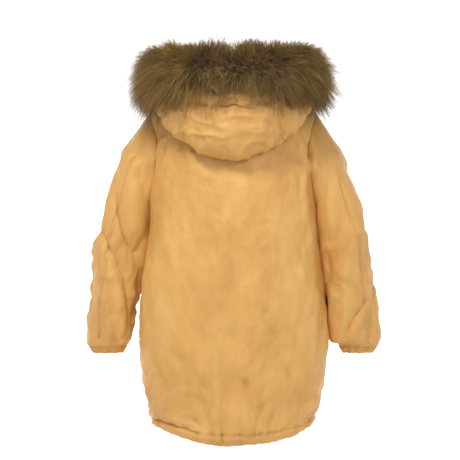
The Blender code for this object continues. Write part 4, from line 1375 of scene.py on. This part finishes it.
u = np.linspace(0, 1, 49)[None, :]
v = np.linspace(0, 1, 57)[:, None]
for side, hand in ((1, "left"), (-1, "right")):
    near = np.minimum(np.minimum(u, 1 - u) / 0.10, (1 - v) / 0.10)
    base = np.clip(near, 0, 1) ** 0.5
    x = mix(POCKET_X[0], POCKET_X[1], u) + 0 * v
    z = mix(POCKET_Z[1], POCKET_Z[0], v) + 0 * u
    bag = mirrored(front_at(x, z, 0.0012 + POCKET_DEPTH * base), side)
    bag = Cloth(bag, in_trunk)
    flat_points = bag.points.reshape(-1, 3)
    soft = (0.0012 * soft_noise(flat_points, (30, 30, 22), 301)
            + 0.0009 * ridges(flat_points, (45, 45, 30), 302)).reshape(bag.points.shape[:2])
    hem = 0.0009 * np.exp(-((v - 0.11) / 0.05) ** 2) - 0.0012 * np.exp(-((v - 0.17) / 0.012) ** 2)
    bag = bag.raised(soft * base + hem)
    show(f"pocket_patch_{hand}", bag, "trunk", replaced=(f"pocket_{hand}",), thick=0.0015)
    across = np.linspace(2, 46, 80)
    for row in (9.4, 10.6):
        stitch("trunk", bag, row, across)
    for low in (6.5, 7.9):
        stitch("trunk", bag, np.linspace(2, 56 - low, 80), low)
        stitch("trunk", bag, np.linspace(2, 56 - low, 80), 48 - low)
        stitch("trunk", bag, 56 - low, np.linspace(low, 48 - low, 80))
    x = mix(POCKET_X[0] - 0.003, POCKET_X[1] + 0.003, u) + 0 * v
    z = mix(FLAP_Z[1] + 0.016, FLAP_Z[0], v) + 0 * u
    rise = smooth(FLAP_Z[1] + 0.014, FLAP_Z[1] - 0.002, z)
    flap = mirrored(front_at(x, z, mix(0.0010, POCKET_DEPTH + 0.0078, rise)), side)
    flap = Cloth(flap, in_trunk)
    flat_points = flap.points.reshape(-1, 3)
    puff = (np.minimum(1, np.minimum(u, 1 - u) / 0.08) * np.minimum(1, (1 - v) / 0.14)) ** 0.5
    soft = 0.0009 * soft_noise(flat_points, (34, 34, 30), 311).reshape(flap.points.shape[:2])
    flap = flap.raised((soft - 0.0016 * (1 - puff)) * rise)
    piece = solid(f"flap_cloth_{hand}", flap, 0.0022, GOLD)
    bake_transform(piece)
    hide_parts(f"pocket_flap_{hand}")
    for inset in (3.0, 5.0):
        stitch(f"flap_{hand}", flap, np.linspace(18, 56 - inset * 1.4, 60), inset)
        stitch(f"flap_{hand}", flap, np.linspace(18, 56 - inset * 1.4, 60), 48 - inset)
        stitch(f"flap_{hand}", flap, 56 - inset * 1.4, np.linspace(inset, 48 - inset, 80))

# ---- Hanger loop and neck label -------------------------------------------------------------

share = np.linspace(0, math.pi, 60)[None, :]
width = np.linspace(0, 1, 7)[:, None]
strap = np.stack(np.broadcast_arrays(
    0.030 * np.cos(share), SHIFT_Y - 0.0145 - 0.008 * np.sin(share),
    -0.020 * (1 - np.sin(share) ** 0.7) + 0.008 * width), -1)
strap = Cloth(strap[::-1], in_neck)
strap = strap.raised(0.0003 * np.cos((width - 0.5) * math.pi) + 0 * share)
show("hanger_strap", strap, "trunk", replaced=("hanger_loop",), thick=0.0015,
     material=LOOP)
for row in (1.0, 5.0):
    stitch("trunk", strap, row, np.linspace(1, 58, 60), 0.0030, 0.0003)
label_angle = mix(1.15, 1.99, np.linspace(0, 1, 40))[None, :]
label = Cloth(body_out(label_angle, mix(0.75, 1.35, np.linspace(0, 1, 14))[:, None], -0.0165),
              in_neck)
show("neck_patch", label, "trunk", replaced=("neck_label",), thick=0.0006,
     material=LABEL)
for row in (0.8, 12.2):
    stitch("trunk", label.raised(-0.0006), row, np.linspace(1, 38, 60), 0.0030, 0.0003)

# ---- Stitches -------------------------------------------------------------------------------

for rider, made in stitches.items():
    name = "stitches_" + rider
    points, quads = sewn(made)
    piece = plain_piece(name, points, [tuple(q) for q in quads.tolist()], THREAD)
    if rider.startswith("front_"):
        hand = rider.split("_")[1]
        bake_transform(piece)
    else:
        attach(piece, rider)

# ---- Floor, light and camera ----------------------------------------------------------------

scene = bpy.context.scene
floor = bpy.data.meshes.new("floor")
profile = [(0.0, -1.06), (5.0, -1.06)]
profile += [(5.0 + 2.0 * math.sin(a), -1.06 + 2.0 * (1 - math.cos(a)))
            for a in np.linspace(0.1, math.pi / 2, 14)]
profile += [(7.0, 5.5)]
turns = np.linspace(0, 2 * math.pi, 65)
points = [(r * math.cos(a), r * math.sin(a), z) for a in turns for r, z in profile]
count = len(profile)
floor.from_pydata(points, [], [
    (k * count + i, k * count + i + 1, (k + 1) * count + i + 1, (k + 1) * count + i)
    for k in range(len(turns) - 1) for i in range(count - 1)])
floor.shade_smooth()
pale = Look("pale_floor", 0.9)
pale.shader.inputs["Base Color"].default_value = (0.93, 0.93, 0.93, 1)
tint = pale.add("ShaderNodeTexNoise", Scale=3.0)
pale.bump(tint.outputs["Fac"], 0.0005)
floor.materials.append(pale.material)
floor = link("floor", floor)


def softbox(name, place, aim, power, size, colour=(1, 1, 1)):
    lamp = bpy.data.lights.new(name, "AREA")
    lamp.energy, lamp.size, lamp.color = power, size, colour
    lamp_obj = bpy.data.objects.new(name, lamp)
    lamp_obj.location = place
    lamp_obj.rotation_euler = (Vector(aim) - Vector(place)).to_track_quat("-Z", "Y").to_euler()
    scene.collection.objects.link(lamp_obj)
    return lamp_obj


softbox("key", (0.85, 1.85, 1.75), (0, 0, -0.25), 48, 0.5)
softbox("fill", (-1.7, 2.3, 1.0), (0, 0, -0.3), 20, 0.8)
softbox("front", (1.8, -2.2, 1.4), (0, 0, -0.35), 4, 1.0)
softbox("backdrop_light", (0, -2.6, 3.4), (0, -7.0, 0.0), 440, 3.0)
scene.world = bpy.data.worlds.new("studio")
scene.world.use_nodes = True
scene.world.node_tree.nodes["Background"].inputs["Color"].default_value = (1, 1, 1, 1)
scene.world.node_tree.nodes["Background"].inputs["Strength"].default_value = 0.20
scene.view_settings.view_transform = "Standard"

lens = bpy.data.cameras.new("camera")
lens.lens_unit = "FOV"
lens.angle = 2 * math.atan(0.575 / 3.0)
camera = bpy.data.objects.new("camera", lens)
camera.location = (0.0075, 2.975, -0.3325)
camera.rotation_euler = (math.pi / 2, 0, math.pi)
scene.collection.objects.link(camera)
scene.camera = camera
